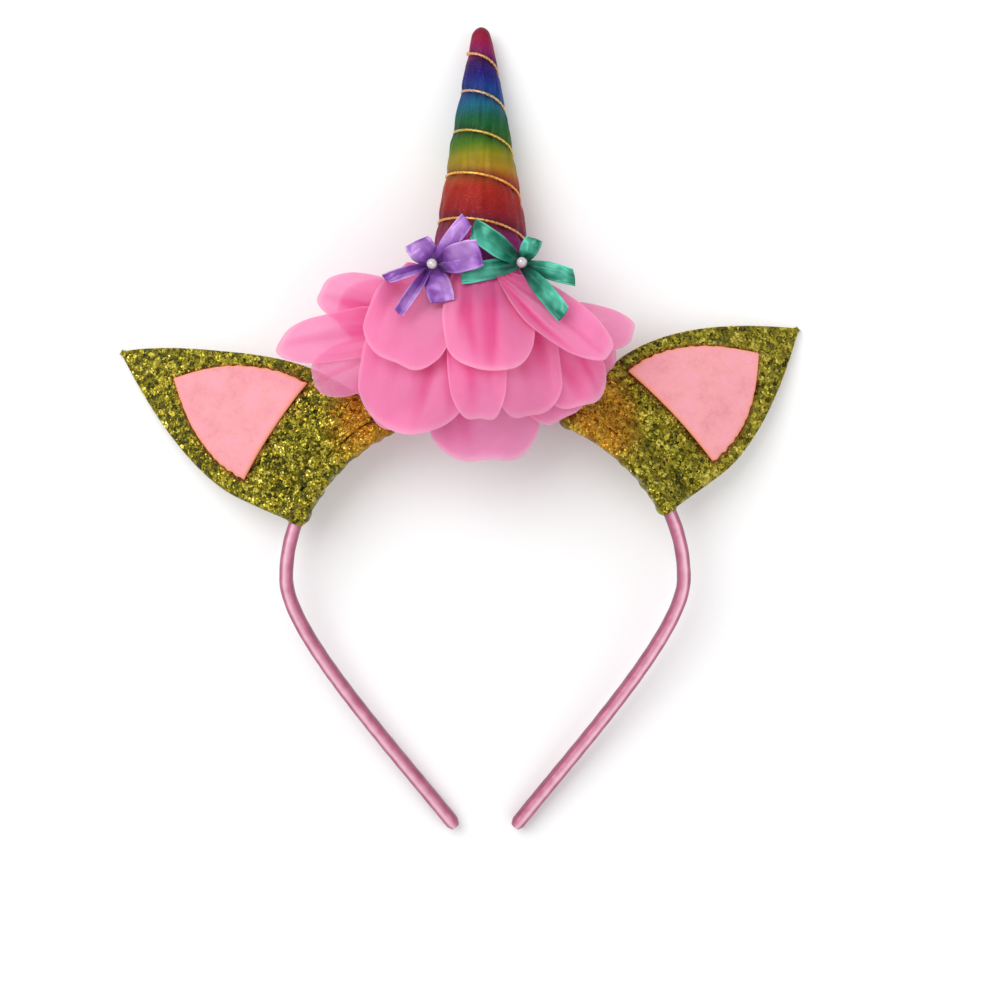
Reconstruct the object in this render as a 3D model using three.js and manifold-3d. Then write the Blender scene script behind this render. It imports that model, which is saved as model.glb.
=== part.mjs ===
// A unicorn horn headband, lying on its back as it would on a table.
// Millimetres and degrees. +Z is up, +Y runs from the band's ends to the horn's tip.
import * as THREE from 'three';
import { mergeVertices } from 'three/addons/utils/BufferGeometryUtils.js';
import Module from 'manifold-3d';

const wasm = await Module();
wasm.setup();

// Clearances between pieces.
const GAP = 0.3;
const SLOPE_ROOM = 0.8;
const CORNER_ROOM = 0.4;
const FACET_ROOM = 0.1;

// The ribbon-wrapped band.
const BAND_SPAN = 128;
const BAND_DEPTH = 136;
const BAND_SHOULDER = 56;
const BAND_MOUTH = 19;
const BAND_BROAD = 6;
const BAND_THICK = 3.2;
const BAND_ROUNDING = 0.9;
const BAND_SEGMENTS = 49;

// The stuffed horn and the cord wound round it.
const HORN_LENGTH = 118.5;
const HORN_SIDE = -1.2;
const HORN_BASE_RADIUS = 21;
const HORN_TIP_RADIUS = 2.6;
const HORN_BELLY = 1.1;
const HORN_TIP_LIFT = 0.5;
const HORN_TIP_ROUNDING = 1.2;
const HORN_LEVELS = 40;
const HORN_RINGS = 44;
const HORN_SIDES = 18;
const CORD_THICK = 1.2;
const CORD_START = 7.8;
const CORD_PITCH = 12.2;
const CORD_PITCH_GROWTH = 0.8;
const CORD_TURNS = 4.8;
const CORD_STEPS_PER_TURN = 18;
const CORD_SIDES = 6;
const GROOVE_DEPTH = 1;
const GROOVE_SHARE = 0.36;
const GROOVE_SHARPNESS = 1.6;
const GROOVE_RUN_OUT = 0.35;

// The ears: glitter cloth folded round the band, with a felt patch on the face.
const EAR_LENGTH = 78;
const EAR_WIDTH = 48.8;
const EAR_FOLD_WIDTH = 46;
const EAR_PEAK = 0.30;
const EAR_TAPER = 1.65;
const EAR_CLOTH = 2.2;
const EAR_WRAP_WALL = 1.5;
const EAR_CROWN = 1.4;
const EAR_TIP_WIDTH = 1.6;
const EAR_FOLD_BLEND = 3;
const CHANNEL_OVERRUN = 8;
const FELT_HEIGHT = 36;
const FELT_WIDTH = 37;
const FELT_START = 22;
const FELT_CLOTH = 1.2;
const FELT_TAPER = 2.1;
const FELT_TIP_SHARE = 0.03;

// arc: distance along the band from its crown to the ear's middle. heading: degrees in plan.
// reach: share of EAR_LENGTH. bend: how far the tip leans inward, as a share of EAR_WIDTH.
const EARS = table(['name', 'side', 'arc', 'heading', 'reach', 'bend'], [
  ['left', -1, 51.7, 152.1, 1, 0.05],
  ['right', 1, 47.7, 40.7, 0.88, 0.13],
]);

// The chiffon ruffle.
const PETAL_REACH = 36;
const PETAL_CLOTH = 1;
const PETAL_BREADTH = 30;
const PETAL_SWELL = 0.6;
const PETAL_CORNER = 0.28;
const PETAL_CURL = 0.5;
const ROW_SIDE_RUN = 8;
const RUFFLE_CLEARANCE = 0.8;
const RUFFLE_OVER_BAND = 0.6;
const RUFFLE_DROOP = 0.25;
const RUFFLE_SHOULDER = 0.62;
const RUFFLE_BLEND = 2;
const RUFFLE_FALL = 16;
const RUFFLE_FALL_RUN = 20;
const RUFFLE_LEVEL_RUN = 1.6;
const SIDE_RISE = 0.40;
const BACK_FALL = 1.5;
const CURL_START = 0.75;
const PLEAT_COUNT = 9;
const PLEAT_HEIGHT = 0.9;
const LAYER_PITCH = PETAL_CLOTH + GAP + SLOPE_ROOM;

// The rows that the petals are sewn in. along: share of the horn's length. floor: lowest layer of the row.
// rise: share of PETAL_REACH over which the row comes up to its layers.
// inner: how far to the side it stays down, as a share of HORN_BASE_RADIUS.
const ROWS = table(['name', 'along', 'floor', 'rise', 'inner'], [
  ['front', 0.278, 5, 0.48, 1.14],
  ['middle', 0.200, 2, 0.30, 0.57],
  ['under', 0.125, 0, 0.30, 0.57],
]);

// around: degrees round the horn, 90 is its front. heading: degrees in plan.
// reach and breadth: shares of PETAL_REACH and PETAL_BREADTH. root: gathered width, as a share of breadth.
// layer: place in the stack, 0 is the lowest.
const PETALS = table(['name', 'row', 'around', 'heading', 'reach', 'breadth', 'root', 'layer'], [
  ['front_left', 'front', 150, -113, 0.78, 0.92, 0.50, 5],
  ['front_centre', 'front', 84, -87, 0.84, 0.92, 0.60, 6],
  ['front_right', 'front', 62, -33, 1.05, 0.58, 0.12, 7],
  ['middle_left', 'middle', 147, -99, 1.06, 1.12, 0.45, 2],
  ['middle_centre', 'middle', 96, -89, 0.98, 0.58, 0.60, 4],
  ['middle_right', 'middle', 60, -79, 0.96, 0.76, 0.50, 3],
  ['middle_far_right', 'middle', 33, -60, 0.93, 0.78, 0.35, 2],
  ['under_left', 'under', 141, -111, 0.86, 0.80, 0.35, 1],
  ['under_centre', 'under', 95, -86, 1.10, 0.94, 0.50, 0],
  ['under_right', 'under', 38, -68, 0.74, 0.80, 0.40, 1],
]);

// The petals at the horn's sides, which start below the rows. along: share of the horn's length.
const SIDE_PETALS = table(['name', 'around', 'along', 'heading', 'reach', 'breadth', 'root', 'layer'], [
  ['right_upper', 14, 0.235, -10, 0.76, 0.56, 0.22, 1],
  ['right_lower', -2, 0.170, -30, 0.66, 0.58, 0.06, 0],
  ['left_upper', 190, 0.254, 173, 0.93, 0.70, 0.12, 0],
  ['left_middle', 159, 0.173, -171, 1.25, 0.52, 0.12, 1],
  ['left_lower', 184, 0.125, -163, 0.90, 0.50, 0.10, 0],
]);

// The petals behind the horn, whose free edges lie on the table.
const BACK_PETALS = table(['name', 'around', 'along', 'heading', 'reach', 'breadth', 'root'], [
  ['right', -25, 0.222, -8, 0.60, 0.70, 0.22],
  ['left', 205, 0.222, 173, 0.80, 0.72, 0.22],
  ['left_lower', 213, 0.090, -149, 0.70, 0.66, 0.12],
  ['right_lower', -33, 0.090, -25, 0.70, 0.75, 0.12],
]);

// The ribbon flowers.
const FLOWER_HEIGHT = 6;
const RIBBON_CLOTH = 1;
const RIBBON_WIDTH = 8;
const RIBBON_REACH = 20;
const RIBBON_ROOT = 1;
const RIBBON_GATHER = 0.22;
const RIBBON_SWELL = 0.75;
const RIBBON_SINK = 1.2;
const RIBBON_LEVEL = 1.2;
const RIBBON_CUP = 1.2;
const RIBBON_CORNER = 0.08;
const RIBBON_END_START = 0.7;
const RIBBON_END_TAPER = 0.2;
const PEARL_RADIUS = 2;
const KNOT_RADIUS = 2.6;
const FOOT_RADIUS = 1.5;
const FOOT_SIDES = 8;

// heading: degrees in plan. reach and width: shares of RIBBON_REACH and RIBBON_WIDTH.
// tip and arch: rise of the free end and of the middle, as shares of RIBBON_REACH.
const RIBBON_COLUMNS = ['heading', 'reach', 'width', 'tip', 'arch'];
const LILAC_RIBBONS = table(RIBBON_COLUMNS, [
  [57, 0.98, 0.60, 0.15, 0.07],
  [12, 0.76, 1.15, 0.25, 0.015],
  [132, 0.50, 0.95, -0.075, 0.04],
  [197, 0.75, 0.45, -0.08, 0.06],
  [237, 0.92, 0.45, 0.33, 0.06],
  [286, 0.62, 1.00, 0.26, 0.04],
]);
const TEAL_RIBBONS = table(RIBBON_COLUMNS, [
  [145, 0.92, 0.85, 0.05, 0.05],
  [192, 0.94, 0.75, 0.075, 0.06],
  [62, 0.42, 0.70, 0.02, 0.03],
  [-10, 0.82, 0.60, 0.18, 0.06],
  [-53, 1.05, 0.70, 0.48, 0.07],
]);

// across and along: shares of the horn's base radius and length.
const FLOWERS = table(['name', 'across', 'along', 'colour', 'ribbons'], [
  ['lilac', -0.70, 0.331, '#9b6bbf', LILAC_RIBBONS],
  ['teal', 0.595, 0.335, '#2b9c7c', TEAL_RIBBONS],
]);

// Places that follow from the sizes above.
const HORN_LEAN = Math.asin((HORN_BASE_RADIUS - HORN_TIP_RADIUS - HORN_TIP_LIFT) / HORN_LENGTH);
const HORN_SEAT = GAP + (BAND_BROAD / 2) * Math.sin(HORN_LEAN) + CORNER_ROOM / 2;
const HORN_BASE = new THREE.Vector3(HORN_SIDE, HORN_SEAT, hornBaseHeight());
const HORN_AXIS = new THREE.Vector3(0, Math.cos(HORN_LEAN), -Math.sin(HORN_LEAN));
const BAND_TILT = Math.asin((HORN_BASE.z - BAND_BROAD / 2) / BAND_DEPTH);
const BAND_UP = new THREE.Vector3(0, -Math.sin(BAND_TILT), Math.cos(BAND_TILT));
const BAND_TO_ENDS = new THREE.Vector3(0, -Math.cos(BAND_TILT), -Math.sin(BAND_TILT));
const BAND_CROWN = new THREE.Vector3(0, -BAND_THICK / 2, HORN_BASE.z);
const PETAL_SEAT = GAP + CORNER_ROOM + PETAL_CLOTH / 2;

// Rows of values under the names of their columns.
function table(columns, rows) {
  return rows.map((row) => Object.fromEntries(columns.map((column, place) => [column, row[place]])));
}

function radians(degrees) {
  return THREE.MathUtils.degToRad(degrees);
}

function mix(a, b, share) {
  return a + (b - a) * share;
}

function smooth(share) {
  return THREE.MathUtils.smoothstep(share, 0, 1);
}

// A closed body from points and triangles, turned so that its faces point out.
function closedBody(points, triangles) {
  let volume = 0;
  const cross = new THREE.Vector3();
  for (const [a, b, c] of triangles) {
    volume += points[a].dot(cross.crossVectors(points[b], points[c])) / 6;
  }
  const ordered = volume < 0 ? triangles.map(([a, b, c]) => [a, c, b]) : triangles;
  const geometry = new THREE.BufferGeometry();
  geometry.setAttribute('position', new THREE.Float32BufferAttribute(points.flatMap((p) => p.toArray()), 3));
  geometry.setIndex(ordered.flat());
  return geometry;
}

// A body lofted through rings of equally many points, closed by a fan at each end.
function loft(rings) {
  const sides = rings[0].length;
  const points = rings.flat();
  const triangles = [];
  for (let ring = 0; ring < rings.length - 1; ring += 1) {
    for (let side = 0; side < sides; side += 1) {
      const a = ring * sides + side;
      const b = ring * sides + ((side + 1) % sides);
      triangles.push([a, b, b + sides], [a, b + sides, a + sides]);
    }
  }
  const last = (rings.length - 1) * sides;
  const firstCentre = points.push(centreOf(rings[0])) - 1;
  const lastCentre = points.push(centreOf(rings[rings.length - 1])) - 1;
  for (let side = 0; side < sides; side += 1) {
    const next = (side + 1) % sides;
    triangles.push([firstCentre, next, side], [lastCentre, last + side, last + next]);
  }
  return closedBody(points, triangles);
}

function centreOf(ring) {
  const sum = ring.reduce((total, point) => total.add(point), new THREE.Vector3());
  return sum.divideScalar(ring.length);
}

// A sheet of cloth of even thickness round the surface at(s, t), s from 0 to 1 and t from -1 to 1.
function sheet(rows, columns, thickness, at) {
  const top = [];
  const bottom = [];
  const step = 0.01;
  for (let row = 0; row <= rows; row += 1) {
    for (let column = 0; column <= columns; column += 1) {
      const s = row / rows;
      const t = (2 * column) / columns - 1;
      const alongIt = at(Math.min(s + step, 1), t).sub(at(Math.max(s - step, 0), t));
      const acrossIt = at(s, Math.min(t + step, 1)).sub(at(s, Math.max(t - step, -1)));
      const normal = alongIt.cross(acrossIt).normalize();
      normal.multiplyScalar(normal.z < 0 ? -thickness / 2 : thickness / 2);
      top.push(at(s, t).add(normal));
      bottom.push(at(s, t).sub(normal));
    }
  }
  const stride = columns + 1;
  const under = top.length;
  const triangles = [];
  for (let row = 0; row < rows; row += 1) {
    for (let column = 0; column < columns; column += 1) {
      const a = row * stride + column;
      const c = a + stride;
      triangles.push([a, a + 1, c + 1], [a, c + 1, c]);
      triangles.push([under + a, under + c + 1, under + a + 1], [under + a, under + c, under + c + 1]);
    }
  }
  for (const [a, b] of rimOf(rows, columns)) {
    triangles.push([a, under + a, under + b], [a, under + b, b]);
  }
  return closedBody([...top, ...bottom], triangles);
}

// The edges round a grid of rows and columns, in the order that closes a sheet's rim.
function rimOf(rows, columns) {
  const stride = columns + 1;
  const loop = [];
  for (let column = 0; column < columns; column += 1) loop.push(column);
  for (let row = 0; row < rows; row += 1) loop.push(row * stride + columns);
  for (let column = columns; column > 0; column -= 1) loop.push(rows * stride + column);
  for (let row = rows; row > 0; row -= 1) loop.push(row * stride);
  return loop.map((point, index) => [point, loop[(index + 1) % loop.length]]);
}

function toManifold(geometry) {
  const bare = mergeVertices(geometry);
  return new wasm.Manifold(new wasm.Mesh({
    numProp: 3,
    vertProperties: new Float32Array(bare.attributes.position.array),
    triVerts: new Uint32Array(bare.index.array),
  }));
}

function fromManifold(solid) {
  const mesh = solid.getMesh();
  const geometry = new THREE.BufferGeometry();
  geometry.setAttribute('position', new THREE.Float32BufferAttribute(mesh.vertProperties, 3));
  geometry.setIndex(Array.from(mesh.triVerts));
  return geometry;
}

// The band's centre line: a quarter ellipse each side of the crown, then a leg curving in.
function bandPlanePoint(across, toEnds) {
  return BAND_CROWN.clone().addScaledVector(BAND_TO_ENDS, toEnds).setX(across);
}

function bandHalf(side) {
  const halfSpan = (BAND_SPAN - BAND_THICK) / 2;
  const roundness = 0.5523;
  const shoulder = bandPlanePoint(side * halfSpan, BAND_SHOULDER);
  const quarter = new THREE.CubicBezierCurve3(
    bandPlanePoint(0, 0),
    bandPlanePoint(side * halfSpan * roundness, 0),
    bandPlanePoint(side * halfSpan, BAND_SHOULDER * (1 - roundness)),
    shoulder,
  );
  const legRun = BAND_DEPTH - BAND_SHOULDER;
  const leg = new THREE.CubicBezierCurve3(
    shoulder,
    bandPlanePoint(side * halfSpan, BAND_SHOULDER + 0.21 * legRun),
    bandPlanePoint(side * mix(BAND_MOUTH / 2, halfSpan, 0.4), BAND_SHOULDER + 0.66 * legRun),
    bandPlanePoint((side * BAND_MOUTH) / 2, BAND_DEPTH),
  );
  const half = new THREE.CurvePath();
  half.add(quarter);
  half.add(leg);
  return half;
}

const BAND_HALVES = { left: bandHalf(-1), right: bandHalf(1) };
const BAND_HALF_LENGTH = BAND_HALVES.right.getLength();

// Centre, outward and forward directions at a distance along the band, negative on the left half.
function bandFrame(distance) {
  const half = distance < 0 ? BAND_HALVES.left : BAND_HALVES.right;
  const share = Math.min(Math.abs(distance) / BAND_HALF_LENGTH, 1);
  const centre = half.getPointAt(share);
  const forward = half.getTangentAt(share).multiplyScalar(distance < 0 ? -1 : 1);
  const outward = new THREE.Vector3().crossVectors(BAND_UP, forward).normalize();
  return { centre, outward, forward };
}

// The band's rounded section, grown by an offset all round.
function bandRingAt(distance, offset) {
  const { centre, outward } = bandFrame(distance);
  const halfThick = BAND_THICK / 2 + offset;
  const halfBroad = BAND_BROAD / 2 + offset;
  const corner = BAND_ROUNDING;
  const section = [
    [halfThick, -halfBroad + corner], [halfThick, halfBroad - corner],
    [halfThick - corner, halfBroad], [-halfThick + corner, halfBroad],
    [-halfThick, halfBroad - corner], [-halfThick, -halfBroad + corner],
    [-halfThick + corner, -halfBroad], [halfThick - corner, -halfBroad],
  ];
  return section.map(([out, up]) => (
    centre.clone().addScaledVector(outward, out).addScaledVector(BAND_UP, up)
  ));
}

// A ring on the straight facets between the band's stations, so that a wrap stays parallel to it.
function bandFacetRing(distance, offset) {
  const segment = (2 * BAND_HALF_LENGTH) / BAND_SEGMENTS;
  const place = (distance + BAND_HALF_LENGTH) / segment;
  const before = Math.min(Math.max(Math.floor(place), 0), BAND_SEGMENTS - 1);
  const first = bandRingAt(before * segment - BAND_HALF_LENGTH, offset);
  const second = bandRingAt((before + 1) * segment - BAND_HALF_LENGTH, offset);
  return first.map((point, index) => point.lerp(second[index], place - before));
}

// The part of the band's sweep between two distances, grown by an offset.
function bandSweep(from, to, offset) {
  const segment = (2 * BAND_HALF_LENGTH) / BAND_SEGMENTS;
  const rings = [bandFacetRing(from, offset)];
  for (let station = 1; station < BAND_SEGMENTS; station += 1) {
    const distance = station * segment - BAND_HALF_LENGTH;
    if (distance > from + 0.5 && distance < to - 0.5) rings.push(bandRingAt(distance, offset));
  }
  rings.push(bandFacetRing(to, offset));
  return loft(rings);
}

function buildBand() {
  return bandSweep(-BAND_HALF_LENGTH, BAND_HALF_LENGTH, 0);
}

// The horn's radius without its grooves, at a distance from its base.
function hornEnvelope(fromBase) {
  const share = THREE.MathUtils.clamp(fromBase / HORN_LENGTH, 0, 1);
  return mix(HORN_BASE_RADIUS, HORN_TIP_RADIUS, share) + HORN_BELLY * Math.sin(Math.PI * share);
}

// The height at which the cord under the leaning horn just touches the table.
function hornBaseHeight() {
  let height = 0;
  for (let step = 0; step <= HORN_LEVELS; step += 1) {
    const fromBase = (HORN_LENGTH * step) / HORN_LEVELS;
    const outside = cordRadius(fromBase) + CORD_THICK / 2;
    const below = fromBase * Math.sin(HORN_LEAN) + outside * Math.cos(HORN_LEAN);
    height = Math.max(height, below);
  }
  return height;
}

function cordDistanceFromTip(turn) {
  return CORD_START + CORD_PITCH * turn + (CORD_PITCH_GROWTH / 2) * turn * turn;
}

function cordTurnAt(fromTip) {
  const inside = CORD_PITCH * CORD_PITCH + 2 * CORD_PITCH_GROWTH * (fromTip - CORD_START);
  return (Math.sqrt(Math.max(inside, 0)) - CORD_PITCH) / CORD_PITCH_GROWTH;
}

// The groove that the cord presses into the stuffing: its depth where it is deepest.
function grooveDepth(fromBase) {
  return Math.min(GROOVE_DEPTH, GROOVE_SHARE * hornEnvelope(fromBase));
}

function hornRadius(fromBase, around) {
  const turn = cordTurnAt(HORN_LENGTH - fromBase);
  const nearness = 0.5 + 0.5 * Math.cos(2 * Math.PI * (turn - (180 - around) / 360));
  const wound = 1 - smooth((turn - CORD_TURNS) / GROOVE_RUN_OUT);
  return hornEnvelope(fromBase) - grooveDepth(fromBase) * nearness ** GROOVE_SHARPNESS * wound;
}

// A point round the horn, at a distance from its base and a radius from its axis.
function hornPoint(fromBase, around, radius) {
  const upward = new THREE.Vector3(0, Math.sin(HORN_LEAN), Math.cos(HORN_LEAN));
  return HORN_BASE.clone()
    .addScaledVector(HORN_AXIS, fromBase)
    .addScaledVector(new THREE.Vector3(1, 0, 0), radius * Math.cos(radians(around)))
    .addScaledVector(upward, radius * Math.sin(radians(around)));
}

function buildHorn() {
  const rings = [];
  const roundOff = HORN_TIP_RADIUS * HORN_TIP_ROUNDING;
  for (let ring = 0; ring <= HORN_RINGS; ring += 1) {
    const fromBase = (HORN_LENGTH - roundOff) * (ring / HORN_RINGS);
    rings.push(hornRing(fromBase, 1));
  }
  for (const angle of [35, 65]) {
    const beyond = HORN_LENGTH - roundOff * (1 - Math.sin(radians(angle)));
    rings.push(hornRing(beyond, Math.cos(radians(angle))));
  }
  return loft(rings);
}

function hornRing(fromBase, share) {
  const ring = [];
  for (let side = 0; side < HORN_SIDES; side += 1) {
    const around = (360 * side) / HORN_SIDES;
    ring.push(hornPoint(fromBase, around, hornRadius(fromBase, around) * share));
  }
  return ring;
}

// How far the cord's middle lies from the horn's axis.
function cordRadius(fromBase) {
  const facetRoom = hornEnvelope(fromBase) * (1 - Math.cos(Math.PI / CORD_STEPS_PER_TURN));
  const floor = hornEnvelope(fromBase) - grooveDepth(fromBase);
  return floor + GAP + CORNER_ROOM / 2 + facetRoom + CORD_THICK / 2;
}

function cordCentre(turn) {
  const fromBase = HORN_LENGTH - cordDistanceFromTip(turn);
  return hornPoint(fromBase, 180 - 360 * turn, cordRadius(fromBase));
}

function buildCord() {
  const rings = [];
  const steps = Math.round(CORD_TURNS * CORD_STEPS_PER_TURN);
  for (let step = 0; step <= steps; step += 1) {
    const turn = (CORD_TURNS * step) / steps;
    const centre = cordCentre(turn);
    const along = cordCentre(turn + 0.01).sub(cordCentre(turn - 0.01)).normalize();
    const fromBase = HORN_LENGTH - cordDistanceFromTip(turn);
    const outward = centre.clone().sub(hornPoint(fromBase, 0, 0)).normalize();
    const side = new THREE.Vector3().crossVectors(along, outward).normalize();
    const up = new THREE.Vector3().crossVectors(side, along);
    const ring = [];
    for (let corner = 0; corner < CORD_SIDES; corner += 1) {
      const angle = (2 * Math.PI * corner) / CORD_SIDES;
      ring.push(centre.clone()
        .addScaledVector(up, (CORD_THICK / 2) * Math.cos(angle))
        .addScaledVector(side, (CORD_THICK / 2) * Math.sin(angle)));
    }
    rings.push(ring);
  }
  return loft(rings);
}

// Half the ear's width at a share of its length, as a share of half its greatest width.
function earShare(share) {
  const foldShare = EAR_FOLD_WIDTH / EAR_WIDTH;
  if (share < EAR_PEAK) return mix(foldShare, 1, Math.sin((Math.PI / 2) * (share / EAR_PEAK)));
  return Math.max(1 - ((share - EAR_PEAK) / (1 - EAR_PEAK)) ** EAR_TAPER, EAR_TIP_WIDTH / EAR_WIDTH);
}

// The middle of the ear's cloth, from the band's centre line out to the tip, which is on the table.
function earPoint(ear, share, across) {
  const heading = radians(ear.heading);
  const sideways = heading - (ear.side * Math.PI) / 2;
  const middle = bandFrame(ear.side * ear.arc).centre;
  const foldOffset = (across * EAR_FOLD_WIDTH) / 2;
  const fold = bandFrame(ear.side * (ear.arc + foldOffset)).centre;
  const halfWidth = (EAR_WIDTH / 2) * earShare(share);
  const blend = (1 - share) ** EAR_FOLD_BLEND;
  const length = EAR_LENGTH * ear.reach;
  const bend = EAR_WIDTH * ear.bend * share * share;
  const plan = (axis, direction, turned) => middle[axis] + length * share * direction
    + (across * halfWidth + bend) * turned
    + (fold[axis] - middle[axis] - foldOffset * turned) * blend;
  const crown = EAR_CROWN * Math.sin(Math.PI * share) * (1 - across * across);
  const height = mix(fold.z, EAR_CLOTH / 2, share) + crown;
  return new THREE.Vector3(
    plan('x', Math.cos(heading), Math.cos(sideways)),
    plan('y', Math.sin(heading), Math.sin(sideways)),
    height,
  );
}

function buildEar(ear) {
  const halfFold = EAR_FOLD_WIDTH / 2;
  const from = ear.side * ear.arc - halfFold;
  const to = ear.side * ear.arc + halfFold;
  const leaf = toManifold(sheet(12, 8, EAR_CLOTH, (s, t) => earPoint(ear, s, t)));
  const wrap = toManifold(bandSweep(from, to, GAP + EAR_WRAP_WALL));
  const channel = toManifold(bandSweep(from - CHANNEL_OVERRUN, to + CHANNEL_OVERRUN, GAP));
  return fromManifold(wrap.add(leaf).subtract(channel));
}

function feltPoint(ear, share, across) {
  const fromBand = FELT_START + share * FELT_HEIGHT;
  const earwise = fromBand / EAR_LENGTH;
  const halfWidth = (FELT_WIDTH / 2) * Math.max(1 - share ** FELT_TAPER, FELT_TIP_SHARE);
  const acrossEar = (across * halfWidth) / ((EAR_WIDTH / 2) * earShare(earwise));
  const lift = EAR_CLOTH / 2 + GAP + FELT_CLOTH / 2 + FACET_ROOM;
  return earPoint(ear, earwise, acrossEar).add(new THREE.Vector3(0, 0, lift));
}

function buildFelt(ear) {
  return sheet(8, 6, FELT_CLOTH, (s, t) => feltPoint(ear, s, t));
}

// Height of the horn's front over the table at a distance from the band's crown.
function hornFront(y) {
  const level = (y - HORN_BASE.y) / Math.cos(HORN_LEAN);
  const fromBase = level - hornEnvelope(level) * Math.tan(HORN_LEAN);
  return hornPoint(fromBase, 90, hornEnvelope(fromBase)).z;
}

// How far a cloth over the horn has dropped beside its ridge: round over the top, then straight down.
function sideDrop(x, radius) {
  const across = Math.abs(x) / radius;
  const shoulder = Math.sqrt(1 - RUFFLE_SHOULDER * RUFFLE_SHOULDER);
  if (across < RUFFLE_SHOULDER) return radius * (1 - Math.sqrt(1 - across * across));
  return radius * (1 - shoulder + (RUFFLE_SHOULDER / shoulder) * (across - RUFFLE_SHOULDER));
}

// The surface that the ruffle's lowest layer lies on: over the horn, then down to the band and ears.
function ruffleBed(x, y) {
  const aside = x - HORN_SIDE;
  const brow = HORN_BASE.y + HORN_BASE_RADIUS * Math.sin(HORN_LEAN);
  const past = Math.max(brow - y, 0) / RUFFLE_FALL_RUN;
  const ridge = hornFront(Math.max(y, brow)) - RUFFLE_FALL * (1 - Math.exp(-past * past));
  const fromBase = (y - HORN_BASE.y) / Math.cos(HORN_LEAN);
  const over = ridge - sideDrop(aside, hornEnvelope(fromBase) + PETAL_SEAT);
  const wrapTop = BAND_CROWN.z + BAND_BROAD / 2 + GAP + EAR_WRAP_WALL + RUFFLE_OVER_BAND;
  const side = wrapTop - RUFFLE_DROOP * Math.max(Math.abs(x) - HORN_BASE_RADIUS * RUFFLE_LEVEL_RUN, 0);
  const bed = side + RUFFLE_BLEND * Math.log(1 + Math.exp((over - side) / RUFFLE_BLEND));
  const fromMiddle = Math.hypot(aside, y - HORN_BASE_RADIUS);
  const pleat = smooth((fromMiddle - HORN_BASE_RADIUS) / (PETAL_REACH - HORN_BASE_RADIUS));
  const wave = Math.cos(PLEAT_COUNT * Math.atan2(y - HORN_BASE_RADIUS, aside));
  return bed + RUFFLE_CLEARANCE + PLEAT_HEIGHT * pleat * wave;
}

function rowOf(petal) {
  return ROWS.find((row) => row.name === petal.row);
}

// Where a petal leaves the horn.
function petalRoot(petal) {
  const along = petal.row ? rowOf(petal).along : petal.along;
  const fromBase = along * HORN_LENGTH;
  const radius = hornEnvelope(fromBase) + PETAL_SEAT;
  return hornPoint(fromBase, petal.around, radius);
}

// Plan position on a petal: it swells from its gathered root and its free end has round corners.
function petalPlan(petal, share, across) {
  const root = petalRoot(petal);
  const heading = radians(petal.heading);
  const distance = share * petal.reach * PETAL_REACH * (1 - PETAL_CORNER * Math.abs(across) ** 3);
  const swell = Math.sin((Math.PI / 2) * Math.min(share / PETAL_SWELL, 1));
  const offset = across * (PETAL_BREADTH / 2) * petal.breadth * mix(petal.root, 1, swell);
  return {
    x: root.x + distance * Math.cos(heading) - offset * Math.sin(heading),
    y: root.y + distance * Math.sin(heading) + offset * Math.cos(heading),
    distance,
    rootHeight: root.z,
  };
}

// A free edge turns up a little.
function petalCurl(share) {
  return PETAL_CURL * Math.max((share - CURL_START) / (1 - CURL_START), 0) ** 2;
}

// A petal sewn in a row: its gathered edge lies in the row's own stack, its free end in the whole one.
function petalPoint(petal, share, across) {
  const plan = petalPlan(petal, share, across);
  const row = rowOf(petal);
  const seam = hornPoint(row.along * HORN_LENGTH, 90, HORN_BASE_RADIUS).y;
  const sewn = 1 - smooth((seam - plan.y) / (row.rise * PETAL_REACH));
  const aside = Math.abs(plan.x - HORN_SIDE);
  const inner = 1 - smooth((aside - row.inner * HORN_BASE_RADIUS) / ROW_SIDE_RUN);
  const layers = petal.layer - row.floor * sewn * inner;
  const height = ruffleBed(plan.x, plan.y) + PETAL_CLOTH / 2 + layers * LAYER_PITCH + petalCurl(share);
  return new THREE.Vector3(plan.x, plan.y, height);
}

function sidePetalPoint(petal, share, across) {
  const plan = petalPlan(petal, share, across);
  const risen = smooth(plan.distance / (SIDE_RISE * PETAL_REACH));
  const laid = ruffleBed(plan.x, plan.y) + PETAL_CLOTH / 2 + petal.layer * LAYER_PITCH;
  return new THREE.Vector3(plan.x, plan.y, mix(plan.rootHeight, laid, risen) + petalCurl(share));
}

function backPetalPoint(petal, share, across) {
  const plan = petalPlan(petal, share, across);
  const height = mix(PETAL_CLOTH / 2, plan.rootHeight, (1 - share) ** BACK_FALL);
  return new THREE.Vector3(plan.x, plan.y, height);
}

// The middle of a flower, over the horn's front.
function flowerCentre(flower) {
  const y = flower.along * HORN_LENGTH;
  return new THREE.Vector3(HORN_SIDE + flower.across * HORN_BASE_RADIUS, y, hornFront(y) + FLOWER_HEIGHT);
}

// Half a ribbon's width: gathered at its root, blunt at its cut end.
function ribbonHalfWidth(ribbon, share) {
  const swell = mix(RIBBON_GATHER, 1, Math.sin((Math.PI / 2) * Math.min(share / RIBBON_SWELL, 1)));
  const past = Math.max((share - RIBBON_END_START) / (1 - RIBBON_END_START), 0);
  return (RIBBON_WIDTH / 2) * ribbon.width * swell * (1 - RIBBON_END_TAPER * past * past);
}

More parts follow.
